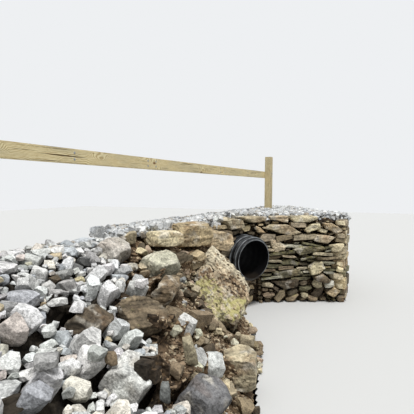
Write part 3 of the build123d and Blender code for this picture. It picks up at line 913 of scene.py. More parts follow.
# Stones of the bank that the photograph shows one by one: where the middle of each is seen, how
# wide and high it looks there, in points of the photograph, and its colour
SEEN_STONES = [
    (21, 247, 19, 14, "cream"), (8, 255, 22, 12, "white"), (5, 266, 22, 12, "white"),
    (31, 258, 22, 11, "pale"), (49, 263, 18, 13, "pale"), (23, 276, 15, 22, "pale"),
    (39, 273, 18, 19, "pale"), (4, 277, 12, 12, "blue"), (10, 283, 14, 13, "pale"),
    (62, 274, 19, 12, "grey"), (67, 282, 17, 10, "grey"), (54, 287, 18, 20, "tan"),
    (18, 296, 32, 19, "blue"), (42, 290, 12, 13, "white"), (91, 282, 19, 22, "white"),
    (79, 293, 28, 12, "pink"), (106, 291, 19, 16, "slate"), (120, 287, 11, 13, "white"),
    (121, 297, 12, 10, "white"), (119, 276, 18, 9, "blue"), (57, 300, 16, 9, "white"),
    (45, 308, 20, 13, "white"), (64, 304, 14, 17, "dark"), (78, 308, 14, 11, "white"),
    (89, 317, 15, 12, "white"), (7, 308, 16, 14, "grey"), (18, 319, 32, 13, "pink"),
    (40, 323, 34, 16, "white"), (66, 317, 11, 8, "pink"), (55, 255, 14, 8, "tan"),
    (68, 251, 16, 10, "blue"), (87, 258, 30, 13, "rust"), (124, 262, 26, 20, "rust"),
    (57, 247, 10, 7, "white"), (130, 240, 13, 14, "tan"), (107, 271, 13, 13, "white"),
    (62, 335, 19, 18, "blue"), (24, 351, 28, 25, "cream"), (47, 352, 20, 17, "pale"),
    (46, 366, 27, 16, "grey"), (4, 369, 18, 22, "blue"), (25, 373, 17, 12, "white"),
    (37, 387, 42, 22, "grey"), (74, 358, 24, 18, "pale"), (71, 372, 26, 13, "blue"),
    (83, 344, 18, 9, "white"), (96, 354, 18, 16, "grey"), (98, 374, 24, 24, "pale"),
    (78, 388, 28, 21, "cream"), (105, 399, 38, 21, "white"), (57, 405, 48, 18, "blue"),
    (112, 343, 22, 13, "tan"), (121, 353, 18, 13, "pale"), (129, 341, 24, 17, "yellow"),
    (111, 361, 12, 15, "brown"), (147, 243, 20, 17, "pale"), (127, 249, 9, 8, "white"),
    (137, 292, 11, 10, "white"), (167, 284, 12, 10, "white"), (175, 281, 7, 6, "white"),
    (178, 259, 10, 8, "pink"), (187, 257, 9, 8, "white"), (153, 300, 16, 12, "white"),
    (140, 300, 14, 9, "pale"), (163, 297, 12, 9, "pale"), (175, 300, 24, 14, "slate"),
    (176, 317, 24, 9, "tan"), (170, 330, 22, 13, "rust"), (158, 338, 16, 10, "ochre"),
    (193, 332, 12, 22, "grey"), (190, 357, 12, 34, "tan"), (143, 371, 20, 30, "green"),
    (157, 366, 14, 12, "cream"), (219, 365, 12, 12, "white"), (205, 306, 26, 14, "tan"),
    (217, 344, 20, 18, "tan"), (215, 352, 12, 10, "slate"), (249, 333, 16, 18, "green"),
    (246, 364, 22, 20, "green"), (240, 384, 26, 16, "tan"), (247, 345, 16, 14, "tan"),
    (258, 400, 10, 26, "buff"), (176, 366, 14, 16, "brown"), (165, 388, 10, 22, "slate"),
    (184, 387, 12, 8, "grey"), (228, 396, 18, 8, "tan"), (193, 268, 14, 10, "brown"),
    (141, 283, 12, 9, "white"), (200, 250, 12, 8, "rust"), (189, 249, 12, 7, "brown"),
]


def seen_on_bank(px, py):
    """Where the line of sight meets the bank or the fill behind it."""
    way = sight(px, py)
    hits = [tree.ray_cast(EYE, way)[0] for tree in (surface_tree, left_tree)]
    hits = [hit for hit in hits if hit is not None]
    return min(hits, key=lambda hit: (hit - EYE).length) if hits else None


def facing(chance, tilt):
    """Turn of a stone whose broad face looks up the line of sight, a little askew."""
    towards = Vector((-ahead.x, -ahead.y, 0)).normalized()
    lean = Matrix.Rotation(math.atan2(towards.y, towards.x) + math.pi / 2, 3, "Z")
    askew = Matrix.Rotation(chance.uniform(-tilt, tilt), 3, "X")
    askew = askew @ Matrix.Rotation(chance.uniform(-tilt, tilt), 3, "Y")
    return lean @ askew @ Matrix.Rotation(chance.uniform(-tilt, tilt) * 2, 3, "Z")


def kept_inside(points, place):
    """Shift that brings a stone back inside the wall's own limits."""
    low = points.min(axis=0) + place
    high = points.max(axis=0) + place
    limits = [(cad_low.x, cad_high.x), (cad_low.y, cad_high.y), (0.0, OVER)]
    shift = np.zeros(3)
    for axis, (bottom, top) in enumerate(limits):
        shift[axis] += max(0.0, bottom + LIMIT_GAP - low[axis])
        shift[axis] -= max(0.0, high[axis] - top + LIMIT_GAP)
    return shift


PALE_MIX = ["white"] * 12 + ["pale"] * 8 + ["cream"] * 4 + ["blue"] * 4 + ["grey"] * 2 + ["pink", "slate"]
BROWN_MIX = ["tan"] * 4 + ["brown"] * 5 + ["dark"] * 3 + ["buff"] * 2
BROWN_MIX += ["sand", "rust", "ochre", "grey", "green", "green"]
TOO_DARK = ("slate", "dark", "tan", "rust")
FIELD_STONE_STARTS = -2.75
PALE_ENDS = -2.2
LARGE_STONE_REACH = 0.24
SAME_STONE = 0.13
SPLIT = 0.8
# Where the middle of each half lies, or of the whole stone, and its share of the length
HALVES = ((-0.26, 0.56), (0.26, 0.56))
WHOLE = ((0.0, 0.94),)
# Length, width and height of a seen stone over the width, width and height it shows
SEEN_SHARES = (1.05, 0.80, 0.95)
HIGHEST_SEAT = 0.42
LOWEST_SEAT = 0.25
INTERLOCK = 0.014


def field_stone(x, y):
    """Share of old brown field stone: none in the tipped pale stone, most towards the stream."""
    return smooth_step(-0.25, 0.35, x - FIELD_STONE_STARTS - STREAM_SLANT * (y + 0.1))


def is_brown(x, y, chance):
    """Whether the stone laid here is one of the brown ones."""
    return chance.random() < 0.025 + 0.92 * field_stone(x, y)


riprap = Heap()
riprap_small = Heap()
laying = random.Random(41)
large_names = [name for name in DRESSED if name.startswith(("bank_stone", "toe"))]
large_places = [sum(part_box(name), Vector()) / 2 for name in large_names]
seen = [(seen_on_bank(px, py), wide, high, colour) for px, py, wide, high, colour in SEEN_STONES]
seen = [row for row in seen if row[0] is not None]
for place, turn, size in heap_stones():
    if any((place - centre).length < LARGE_STONE_REACH for centre in large_places):
        continue
    shape = laying.choice(broken)
    found = bed.faces_of(shape, turn, size, place.x, place.y)
    if found is None:
        continue
    same = [row for row in seen if (row[0] - place).length < SAME_STONE]
    seen = [row for row in seen if row not in same]
    bed.take(found, place.z)
    for offset, share in HALVES if laying.random() < SPLIT else WHOLE:
        colour = same.pop()[3] if same else laying.choice(
            BROWN_MIX if is_brown(place.x, place.y, laying) else PALE_MIX
        )
        if place.x + place.y < PALE_ENDS and colour in TOO_DARK:
            colour = "pale"
        part = (size[0] * share, size[1] * laying.uniform(0.8, 0.98), size[2] * laying.uniform(0.9, 1.0))
        spin = turn @ Matrix.Rotation(laying.uniform(-0.25, 0.25), 3, "Z")
        centre = np.array(place + turn @ Vector((offset * size[0], laying.uniform(-0.02, 0.02), 0)))
        shape = laying.choice(broken)
        centre += kept_inside(shape.turned(part, spin), centre)
        riprap.add_stone(shape, spin, part, centre, tinted(laying, colour), laying.uniform(0.0, 0.12))

for seat, wide, high, colour in seen:
    scale = (seat - EYE).dot(ahead) / FOCAL_PIXELS
    size = [shown * scale * share for shown, share in zip((wide, wide, high), SEEN_SHARES)]
    shape = laying.choice(broken)
    turn = facing(laying, 0.22)
    found = bed.faces_of(shape, turn, size, seat.x, seat.y)
    if found is None:
        continue
    height = bed.resting(found) - INTERLOCK
    if height > seat.z + HIGHEST_SEAT * size[2]:
        continue
    height = max(height, seat.z - LOWEST_SEAT * size[2])
    place = np.array([seat.x, seat.y, height])
    place += kept_inside(shape.turned(size, turn), place)
    bed.take(found, place[2])
    moss = 0.2 if colour == "green" else laying.uniform(0.0, 0.08)
    riprap.add_stone(shape, turn, size, place, tinted(laying, colour), moss)

# Loose stones that fill the heap up, the largest first: size of each round and its tries
FILL_SIZES = [
    (0.20, 500), (0.17, 1500), (0.14, 4000), (0.115, 5000), (0.09, 6000), (0.065, 8000), (0.045, 5000)
]
BROKEN_FROM = 0.13
FINE_FROM = 0.11
# Depth of a hollow that takes a stone, over the stone's size, for stones down to each size
HOLLOW_SHARES = [(0.10, 0.45), (0.07, 0.95), (0.0, 1.3)]
STANDS_PROUD = 0.03
TRIES_BETWEEN = 100
SHOWS_AT_LEAST = 0.20
OPEN_EARTH = 0.12
OPEN_EARTH_PER_METRE = 4.5
SHOULDER_EDGE = ((-2.0, 0.75), (1.3, 0.50))
SHOULDER_GAP = 0.03
BEHIND_COPING = 1.3
SIDE_LIMIT = 0.12


def random_turn(chance, tilt):
    """A stone lying on its broad side, turned any way about the vertical."""
    return (
        Matrix.Rotation(chance.uniform(0, math.tau), 3, "Z")
        @ Matrix.Rotation(chance.gauss(0, tilt), 3, "X")
        @ Matrix.Rotation(chance.gauss(0, tilt), 3, "Y")
    )


def wanted(x, y, level, nominal):
    """Whether loose stone lies at this place: on the bank, and behind the coping stones."""
    (x0, y0), (x1, y1) = SHOULDER_EDGE
    if x > x0 and y > y0 + (y1 - y0) * (x - x0) / (x1 - x0) + SHOULDER_GAP:
        return False
    if x > bank_edge_x:
        return level > BEHIND_COPING and nominal <= SIDE_LIMIT
    return level > (0.02 if nominal < FINE_FROM else 0.05)


cells_x = surface.low[0] + np.arange(surface.nx) * BED_CELL
cells_y = surface.low[1] + np.arange(surface.ny) * BED_CELL
ceiling = surface.heights.copy()
loose = np.zeros(ceiling.shape, bool)
for i, x in enumerate(cells_x):
    for j, y in enumerate(cells_y):
        if wanted(x, y, ceiling[i, j], 0.0):
            opening = noise.noise(Vector((x, y, 0.5)) * OPEN_EARTH_PER_METRE)
            open_earth = opening < OPEN_EARTH * field_stone(x, y)
            loose[i, j] = x > bank_edge_x or field_stone(x, y) < 0.2 or not open_earth
            if x < bank_edge_x:
                ceiling[i, j] = min(ceiling[i, j], max(0.02, slope_height(x, y)) + STANDS_PROUD)

for nominal, tries in FILL_SIZES:
    share = next(share for smallest, share in HOLLOW_SHARES if nominal > smallest)
    large = nominal > FINE_FROM
    shapes = broken if nominal > BROKEN_FROM else plain_broken if large else small
    sunk = INTERLOCK if large else INTERLOCK / 3
    for attempt in range(tries):
        if attempt % TRIES_BETWEEN == 0:
            hollow = np.argwhere(loose & (ceiling - bed.heights > share * nominal))
        if not len(hollow):
            break
        i, j = hollow[laying.randrange(len(hollow))]
        x = cells_x[i] + laying.uniform(-0.5, 0.5) * BED_CELL
        y = cells_y[j] + laying.uniform(-0.5, 0.5) * BED_CELL
        brown = x < bank_edge_x and (is_brown(x, y, laying) or (large and field_stone(x, y) > 0.6))
        if not wanted(x, y, surface.heights[i, j], nominal):
            continue
        long = nominal * laying.uniform(0.8, 1.25)
        size = (long, long * laying.uniform(0.65, 0.95), long * laying.uniform(0.5, 0.85))
        shape = laying.choice(shapes)
        turn = random_turn(laying, 0.40)
        found = bed.faces_of(shape, turn, size, x, y)
        if found is None:
            continue
        rest = bed.resting(found)
        shown_from = rest - sunk + SHOWS_AT_LEAST * size[2]
        if rest == UNDER or shown_from > ceiling[i, j] + STANDS_PROUD / 2:
            continue
        place = np.array([x, y, rest - sunk])
        place += kept_inside(shape.turned(size, turn), place)
        bed.take(found, place[2])
        colour = laying.choice(BROWN_MIX if brown else PALE_MIX)
        moss = laying.uniform(0.0, 0.30) if brown else laying.uniform(0.0, 0.05)
        heap = riprap if large else riprap_small
        heap.add_stone(shape, turn, size, place, tinted(laying, colour), moss)
riprap.add_piece("bank_riprap", granite, "granite", smooth=True)
riprap_small.add_piece("bank_small_stones", granite, "granite")

# Small stones of the walls
# Between the large stones the walls are pinned with chips and thin stones set back in the
# joints. The sides that face the road and the field are random rubble in rough courses.
FACE_CELL = 0.01
FACE_STANDOFF = 0.8
FACE_REACH = 0.17
COVER_REACH = 0.10
NEAREST_HIT = 0.3
WALL_TOP = 1.42
JOINT = 0.012
SHORTEST_STONE = 0.06
LOWEST_STONE = 0.05
SLABBY_SHARE = 0.7
CHIP_LENGTH = 0.08
PIPE_AXIS_POINT = Vector((0.62, 0.15, 0.82))
PIPE_SKEW = math.radians(60.3)
PIPE_RISE = math.radians(4.5)
PIPE_CREST = 0.3555
PIPE_MARGIN = 0.006
pipe_inward = Vector((
    math.cos(PIPE_RISE) * math.cos(PIPE_SKEW), math.cos(PIPE_RISE) * math.sin(PIPE_SKEW),
    math.sin(PIPE_RISE),
))


def clear_of_pipe(points):
    """True where no point of a stone lies within the pipe's ribs."""
    offset = points - np.array(PIPE_AXIS_POINT)
    along = offset @ np.array(pipe_inward)
    away = np.linalg.norm(offset - along[:, None] * np.array(pipe_inward), axis=1)
    return bool((away > PIPE_CREST + PIPE_MARGIN).all())


class Face:
    """An upright side of the wall on a fine grid, with the cells that still want a stone."""

    def __init__(self, start, end, masses, covers=()):
        self.start = Vector((start[0], start[1], 0))
        run = Vector((end[0] - start[0], end[1] - start[1], 0))
        self.along = run.normalized()
        self.out = self.along.cross(Vector((0, 0, 1)))
        self.turn = Matrix((self.along, -self.out, Vector((0, 0, 1)))).transposed()
        self.free = np.zeros((int(run.length / FACE_CELL), int(cad_high.z / FACE_CELL)), bool)
        mass_trees = [tree_of(solid) for solid in masses]
        cover_trees = [tree_of(solid) for solid in covers]
        for i in range(self.free.shape[0]):
            for j in range(int(WALL_TOP / FACE_CELL)):
                eye = self.at((i + 0.5) * FACE_CELL, (j + 0.5) * FACE_CELL, FACE_STANDOFF)
                covered = self.reached(cover_trees, eye, COVER_REACH)
                self.free[i, j] = self.reached(mass_trees, eye, FACE_REACH) and not covered

    def at(self, u, z, proud=0.0):
        """Place at a length along the side and a height, so far in front of it."""
        return self.start + self.along * u + Vector((0, 0, z)) + self.out * proud

    def reached(self, trees, eye, reach):
        """Whether a sight line into the side meets one of the pieces within its reach."""
        hits = [tree.ray_cast(eye, -self.out, FACE_STANDOFF + reach)[0] for tree in trees]
        return any(hit is not None and (hit - eye).length > NEAREST_HIT for hit in hits)

    def lay(self, heap, chance, u, z, wide, high, deep, recess, need, colour, moss, tilt=0.0, kinds=None):
        """Lay one stone whose middle is at u, z if 'need' of its place is still free, set back by
        'recess'."""
        i0, i1 = int((u - wide / 2) / FACE_CELL), int((u + wide / 2) / FACE_CELL)
        j0, j1 = int((z - high / 2) / FACE_CELL), int((z + high / 2) / FACE_CELL)
        area = self.free[max(i0, 0) : i1 + 1, max(j0, 0) : j1 + 1]
        if i0 < -1 or j0 < -1 or i1 > self.free.shape[0] or area.size == 0 or area.mean() < need:
            return
        shape = chance.choice(kinds or squared)
        turn = self.turn @ Matrix.Rotation(tilt, 3, "Y") @ Matrix.Rotation(chance.gauss(0, 0.05), 3, "Z")
        size = (wide - JOINT, deep, high - JOINT)
        place = np.array(self.at(u, z, -recess - deep / 2))
        points = shape.turned(size, turn)
        place += kept_inside(points, place)
        if not clear_of_pipe(points + place):
            return
        area[:] = False
        heap.add_stone(shape, turn, size, place, tinted(chance, colour), moss)

    def courses(self, heap, chance, row_heights, lengths, colours):
        """Rows of stones from the foot up, each row of its own height, joints never in line."""
        z = 0.0
        while z < WALL_TOP:
            high = chance.uniform(*row_heights)
            u = -chance.uniform(0, lengths[0])
            while u < self.free.shape[0] * FACE_CELL:
                wide = chance.uniform(*lengths) * (0.7 + high / row_heights[1] * 0.3)
                start, end = max(u, 0.0), min(u + wide, self.free.shape[0] * FACE_CELL)
                middle = (start + end) / 2
                i = min(self.free.shape[0] - 1, int(middle / FACE_CELL))
                column = np.nonzero(self.free[i, int(z / FACE_CELL) : int((z + high) / FACE_CELL) + 1])[0]
                tall = min(high, (column.max() + 1) * FACE_CELL) if column.size else 0.0
                if end - start > SHORTEST_STONE and tall > LOWEST_STONE:
                    self.lay(
                        heap, chance, middle, z + tall / 2, end - start, tall, chance.uniform(0.18, 0.26),
                        chance.uniform(0.0, 0.03), 0.80, chance.choice(colours), chance.uniform(0, 0.20),
                        chance.gauss(0, 0.025), plain_slabby if chance.random() < SLABBY_SHARE else squared,
                    )
                u += wide
            z += high

    def fill(self, heap, chance, sizes, recess, colours, moss, zone=None, need=0.88, tilt=0.10, kinds=None):
        """Pin what is left with ever smaller stones."""
        for wide, high, tries in sizes:
            for _ in range(tries):
                u = chance.uniform(0, self.free.shape[0] * FACE_CELL)
                z = chance.uniform(0, WALL_TOP)
                if zone and not zone(u, z):
                    continue
                self.lay(
                    heap, chance, u, z, wide * chance.uniform(0.75, 1.25), high * chance.uniform(0.8, 1.2),
                    chance.uniform(0.10, 0.18), chance.uniform(*recess), need, chance.choice(colours),
                    chance.uniform(*moss), chance.gauss(0, tilt), kinds if wide > CHIP_LENGTH else small,
                )


back_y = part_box("fill_right")[1].y
left_x, right_x = cad_low.x, cad_high.x
NOSE_IN = (1.75, -1.10)
NOSE_OUT = (2.30, -1.10)
RETURN_END = (right_x, 0.50)
INNER_CORNER = (1.05, 0.22)
HEAD_LEFT = (-0.10, 0.55)
WALL_MIX = ["tan"] * 6 + ["buff"] * 3 + ["brown"] * 3 + ["ochre"] * 2 + ["sand", "dark", "rust", "deep"]
PIN_MIX = ["tan", "brown", "dark", "ochre", "brown", "buff", "rust", "brown", "dark", "deep"]
FOOT_MIX = ["brown", "dark", "brown", "dark", "tan", "deep", "dark"]
DARK_MIX = ["brown", "dark", "tan", "dark", "ochre"]
COURSE_MIX = ["tan", "buff", "brown", "buff", "ochre", "tan"]
LEDGE_MIX = ["deep", "green", "deep", "brown", "deep", "dark", "tan"]
NOSE_MIX = ["buff", "sand", "sand", "cream", "sand", "buff", "buff"]
# Parts of the wing wall, in metres along it from the inner corner and up it
LEDGE_RUN = (0.12, 1.22)
LEDGE_RISE = (0.40, 1.02)
LEDGE_DROP = 0.15
LEDGE_DROPS_FROM = 0.8
NOSE_RUN = 1.02
NOSE_RISE = (0.22, 0.95)
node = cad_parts
walling = random.Random(23)
wall_small = Heap()
layered_small = Heap()
bank_names = ("bank", "toe", "coping", "leaning")
wall_stones = [stone for stone in dressed if not stone.name.startswith(bank_names)]
wing = Face(INNER_CORNER, NOSE_IN, [node["fill_right"]], wall_stones)


def is_ledge(u, z):
    """Where the layered rock stands in the wing wall."""
    top = LEDGE_RISE[1] - LEDGE_DROP * max(0.0, u - LEDGE_DROPS_FROM)
    return LEDGE_RUN[0] < u < LEDGE_RUN[1] and LEDGE_RISE[0] < z < top


def is_nose(u, z):
    """The end of the wing, where pale stones are heaped rather than coursed."""
    return not is_ledge(u, z) and u > NOSE_RUN and NOSE_RISE[0] < z < NOSE_RISE[1]


def is_foot(u, z):
    """Where the wall is lowest and most weathered, with earth between its stones."""
    return not is_ledge(u, z) and not is_nose(u, z) and z < NOSE_RISE[1]


def is_upper(u, z):
    """The upper rows, split along their beds and laid in courses."""
    return not is_ledge(u, z) and z >= NOSE_RISE[1]


wing.fill(
    layered_small, walling,
    [(0.36, 0.060, 900), (0.24, 0.045, 2500), (0.15, 0.035, 4000), (0.08, 0.03, 5000)],
    (-0.035, 0.055), LEDGE_MIX, (0.20, 0.50), is_ledge, tilt=0.09, need=0.74, kinds=slabby,
)
wing.fill(
    wall_small, walling, [(0.24, 0.13, 700), (0.17, 0.10, 1500), (0.12, 0.08, 2000), (0.08, 0.06, 2500)],
    (-0.02, 0.04), NOSE_MIX, (0.0, 0.22), is_nose, tilt=0.30, need=0.78, kinds=broken,
)
wing.fill(
    wall_small, walling, [(0.36, 0.13, 700), (0.26, 0.11, 1200), (0.18, 0.09, 1500)],
    (0.005, 0.035), COURSE_MIX, (0.0, 0.25), is_upper, tilt=0.12, need=0.78, kinds=slabby,
)
wing.fill(
    wall_small, walling, [(0.16, 0.055, 900), (0.10, 0.045, 2500), (0.06, 0.035, 4000)],
    (0.04, 0.10), DARK_MIX, (0.0, 0.30), is_upper,
)
wing.fill(
    wall_small, walling,
    [(0.22, 0.12, 500), (0.15, 0.09, 1500), (0.10, 0.06, 3000), (0.06, 0.045, 5000), (0.04, 0.03, 5000)],
    (0.0, 0.07), FOOT_MIX, (0.10, 0.45), is_foot, tilt=0.35, need=0.85, kinds=broken,
)
head = Face(HEAD_LEFT, INNER_CORNER, [node["pipe_surround"]], wall_stones)
head.fill(
    wall_small, walling, [(0.30, 0.12, 500), (0.20, 0.09, 1500), (0.12, 0.06, 4000), (0.07, 0.04, 7000)],
    (0.02, 0.07), DARK_MIX, (0.0, 0.25), kinds=slabby,
)
# Sides of the bank's end, each with the height up to which its stones show
end_sides = [
    ((-1.9, 0.45), (-0.6, 0.06), WALL_TOP), ((-0.6, 0.06), (-0.05, 0.06), 0.66),
    ((-0.05, 0.06), (-0.05, 0.60), 0.66),
]
for start, end, top in end_sides:
    side = Face(start, end, [node["bank_end"]], bank_dressed)
    side.fill(
        wall_small, walling, [(0.32, 0.14, 400), (0.22, 0.10, 1200), (0.13, 0.07, 3000), (0.07, 0.045, 5000)],
        (0.0, 0.04), PIN_MIX, (0.0, 0.3), lambda u, z: z < top, tilt=0.2, kinds=slabby,
    )
wall_small.add_piece("wall_pinning", sandstone, "buff_sandstone")
layered_small.add_piece("wall_ledges", schist, "mossy_stone")

outer = Heap()
outer_sides = [
    (NOSE_IN, NOSE_OUT, ["fill_right"]),
    (NOSE_OUT, RETURN_END, ["fill_right"]),
    (RETURN_END, (right_x, back_y), ["fill_right"]),
    ((right_x, back_y), (left_x, back_y), ["fill_right", "pipe_surround", "fill_left"]),
    ((left_x, back_y), (left_x, cad_low.y), ["fill_left", "bank"]),
]
for start, end, masses in outer_sides:
    side = Face(start, end, [node[name] for name in masses])
    side.courses(outer, walling, (0.09, 0.21), (0.16, 0.50), WALL_MIX)
    side.fill(
        outer, walling, [(0.14, 0.09, 2000), (0.10, 0.06, 3000), (0.07, 0.045, 5000), (0.045, 0.035, 6000)],
        (0.0, 0.03), WALL_MIX, (0, 0.1), need=0.84,
    )
outer.add_piece("outer_rubble", sandstone, "buff_sandstone")

# Shoulder
# White crushed stone of 40 to 100 mm, tipped from the road over the fill and raked up to the
# coping stones. Underneath, the stones sit in their own grit.
SHOULDERS = ("shoulder_left", "shoulder_right")
GRIT_GRID = 0.03
GRIT_SHRINK = 0.034
GRIT_WAVES = 0.008
GRIT_WAVES_PER_METRE = 1.7
GRIT_SKIRT = 0.02
GRIT_CHIP = 0.014
GRIT_SHADED_TONES = [(0.0, "#4a4843"), (0.6, "#77746c"), (1.0, "#a09e97")]
GRAVEL_NOMINAL = 0.076
GRAVEL_SPACING = 0.046
GRAVEL_SMALLEST = 0.55
GRAVEL_LARGEST = 1.30
GRAVEL_LIFT = 0.012
GRAVEL_TONES = [
    (0.0, "#84868a"), (0.12, "#bbbcbb"), (0.35, "#dadbd9"), (0.6, "#e8e8e6"), (0.8, "#ccd0d3"),
    (1.0, "#b5a997"),
]
LIBRARY_SEED = 900
MOST_PER_SQUARE_METRE = 6000.0
LEAST_RISE = 0.05


def grit():
    """Stone dust and small chips between the crushed stones: pale stone, matt, with its colour darkened to
    grey as painted shade deep between them.
    """
    material, tree, shader = new_material("limestone_grit")
    place = add(tree, "ShaderNodeTexCoord").outputs["Object"]
    chips = add(tree, "ShaderNodeTexVoronoi", {"Vector": place, "Scale": 1 / GRIT_CHIP}, feature="F1")
    tone = add(tree, "ShaderNodeSeparateColor", {0: chips.outputs["Color"]})
    colour = add(tree, "ShaderNodeValToRGB", {"Fac": tone.outputs[0]}, stops=GRIT_SHADED_TONES)
    bump = add(
        tree, "ShaderNodeBump", {"Height": chips.outputs["Distance"], "Strength": 0.8, "Distance": 0.006}
    )
    tree.links.new(colour.outputs["Color"], shader.inputs["Base Color"])
    tree.links.new(bump.outputs[0], shader.inputs["Normal"])
    shader.inputs["Roughness"].default_value = 0.95
    return material


def stone_library(name, count, nominal, breaks, depth, flat=None):
    """Collection of single stones at their real size, for Geometry Nodes to pick from. 'flat' is
    their thickness over their length; left out, each stone has its own."""
    library = bpy.data.collections.new(name)
    for index in range(count):
        shape = BrokenStone(LIBRARY_SEED + index, breaks, depth)
        chance = random.Random(index)
        thick = flat or chance.uniform(0.55, 0.8)
        size = np.array([nominal, nominal * chance.uniform(0.7, 1.0), nominal * thick])
        mesh = bpy.data.meshes.new(f"{name}_{index}")
        mesh.from_pydata(shape.points * size, [], shape.faces)
        mark(mesh, "stone_place", "FLOAT_VECTOR", shape.points * size + index)
        library.objects.link(bpy.data.objects.new(mesh.name, mesh))
    return library


def scatter_tree(name, tones, tilt):
    """Geometry Nodes group that strews stones of a collection over the upper side of a mesh,
    turned any way about the vertical and tipped by up to so many radians."""
    tree = bpy.data.node_groups.new(name, "GeometryNodeTree")
    for label, kind in (
        ("Ground", "Geometry"), ("Stones", "Collection"), ("Spacing", "Float"), ("Smallest", "Float"),
        ("Largest", "Float"), ("Lift", "Float"), ("Seed", "Int"), ("Finish", "Material"),
    ):
        tree.interface.new_socket(label, in_out="INPUT", socket_type="NodeSocket" + kind)
    tree.interface.new_socket("Strewn", in_out="OUTPUT", socket_type="NodeSocketGeometry")
    given = add(tree, "NodeGroupInput").outputs
    normal = add(tree, "GeometryNodeInputNormal")
    rise = add(tree, "ShaderNodeSeparateXYZ", {0: normal.outputs[0]})
    upper = add(tree, "FunctionNodeCompare", {0: rise.outputs["Z"], 1: LEAST_RISE}, operation="GREATER_THAN")
    top = add(
        tree, "GeometryNodeSeparateGeometry", {"Geometry": given["Ground"], "Selection": upper.outputs[0]},
        domain="FACE",
    )
    spread = add(
        tree, "GeometryNodeDistributePointsOnFaces",
        {"Mesh": top.outputs[0], "Distance Min": given["Spacing"],
         "Density Max": MOST_PER_SQUARE_METRE, "Seed": given["Seed"]},
        distribute_method="POISSON",
    )
    lift = add(tree, "ShaderNodeCombineXYZ", {"Z": given["Lift"]})
    share = add(
        tree, "FunctionNodeRandomValue", {0: (0, 0, -1.0), 1: (0, 0, 1.0)}, data_type="FLOAT_VECTOR"
    )
    shift = add(tree, "ShaderNodeVectorMath", {0: lift.outputs[0], 1: share.outputs[0]}, operation="MULTIPLY")
    lifted = add(
        tree, "GeometryNodeSetPosition", {"Geometry": spread.outputs["Points"], "Offset": shift.outputs[0]}
    )
    turn = add(
        tree, "FunctionNodeRandomValue", {0: (-tilt, -tilt, 0), 1: (tilt, tilt, math.tau)},
        data_type="FLOAT_VECTOR",
    )
    size = add(
        tree, "FunctionNodeRandomValue", {2: given["Smallest"], 3: given["Largest"]}, data_type="FLOAT"
    )
    pick = add(tree, "FunctionNodeRandomValue", {4: 0, 5: 1000}, data_type="INT")
    stones = add(
        tree, "GeometryNodeCollectionInfo",
        {"Collection": given["Stones"], "Separate Children": True, "Reset Children": True},
    )
    placed = add(
        tree, "GeometryNodeInstanceOnPoints",
        {"Points": lifted.outputs[0], "Instance": stones.outputs[0], "Pick Instance": True,
         "Instance Index": pick.outputs[2], "Rotation": turn.outputs[0], "Scale": size.outputs[1]},
    )
    tone = add(tree, "FunctionNodeRandomValue", {"Seed": 5}, data_type="FLOAT")
    colour = add(tree, "ShaderNodeValToRGB", {"Fac": tone.outputs[1]}, stops=tones)
    for element in colour.color_ramp.elements:
        element.color[3] = 0.0
    dyed = add(
        tree, "GeometryNodeStoreNamedAttribute",
        {"Geometry": placed.outputs[0], "Name": "stone_colour", "Value": colour.outputs["Color"]},
        data_type="FLOAT_COLOR", domain="INSTANCE",
    )
    real = add(tree, "GeometryNodeRealizeInstances", {0: dyed.outputs[0]})
    done = add(tree, "GeometryNodeSetMaterial", {"Geometry": real.outputs[0], "Material": given["Finish"]})
    add(tree, "NodeGroupOutput", {0: done.outputs[0]})
    return tree


def strewn(ground, tree, **values):
    """Mesh of the stones that a scatter tree lays on a mesh."""
    holder = in_scene("helper", ground)
    modifier = holder.modifiers.new("strew", "NODES")
    modifier.node_group = tree
    for item in tree.interface.items_tree:
        if item.in_out == "INPUT" and item.name in values:
            modifier[item.identifier] = values[item.name]
    return evaluated(holder)


# Limestone fresh from the crusher: nearly white, dusty, with little grain or layering to be seen
crushed = stone_material(
    "crushed_limestone", speck_size=0.005, speck=0.20, mottle=0.20, layer_size=0.05, layering=0.05,
    shade_and_soil_below=0.30,
)
gravel = stone_library("crushed_stones", 14, GRAVEL_NOMINAL, 7, 0.38)
scatter = scatter_tree("strewn_stones", GRAVEL_TONES, math.pi)
grit_finish = grit()
for index, name in enumerate(SHOULDERS):
    bed_mesh = voxelled(merged_copy([name]), GRIT_GRID)
    places, normals = coordinates(bed_mesh)
    waves = np.array([noise.noise(Vector(p) * GRIT_WAVES_PER_METRE) for p in places])
    above = places[:, 2] > places[:, 2].min() + GRIT_SKIRT
    places -= normals * ((GRIT_SHRINK + GRIT_WAVES * waves) * above)[:, None]
    bed_mesh.vertices.foreach_set("co", places.ravel())
    bed_mesh.update()
    add_piece(name + "_grit", bed_mesh, grit_finish, "crushed_stone", name)
    stones = strewn(
        bed_mesh, scatter, Stones=gravel, Spacing=GRAVEL_SPACING, Smallest=GRAVEL_SMALLEST,
        Largest=GRAVEL_LARGEST, Lift=GRAVEL_LIFT, Seed=index + 3, Finish=crushed,
    )
    held = coordinates(stones)[0]
    np.clip(held, np.array(cad_low) + LIMIT_GAP, np.array(cad_high) - LIMIT_GAP, out=held)
    stones.vertices.foreach_set("co", held.ravel())
    add_piece(name + "_stones", stones, crushed, "crushed_stone")

# Chips in the earth
# Where the bank turns to the stream, flat chips of brown stone have washed into the earth between
# the field stones. They lie flat, half sunk, dark and matt.
CHIP_NOMINAL = 0.048
CHIP_SPACING = 0.027
CHIP_SMALLEST = 0.45
CHIP_LARGEST = 1.15
CHIP_LIFT = 0.004
CHIP_FLAT = 0.28
CHIP_TONES = [(0.0, "#4a3b2c"), (0.3, "#77634c"), (0.6, "#97826a"), (0.85, "#b8a688"), (1.0, "#d2c7b0")]
CHIP_EDGE = 0.07
CHIP_BACK_Y = 0.6
CHIP_STEEPEST = 0.15
CHIP_COVER = 0.02


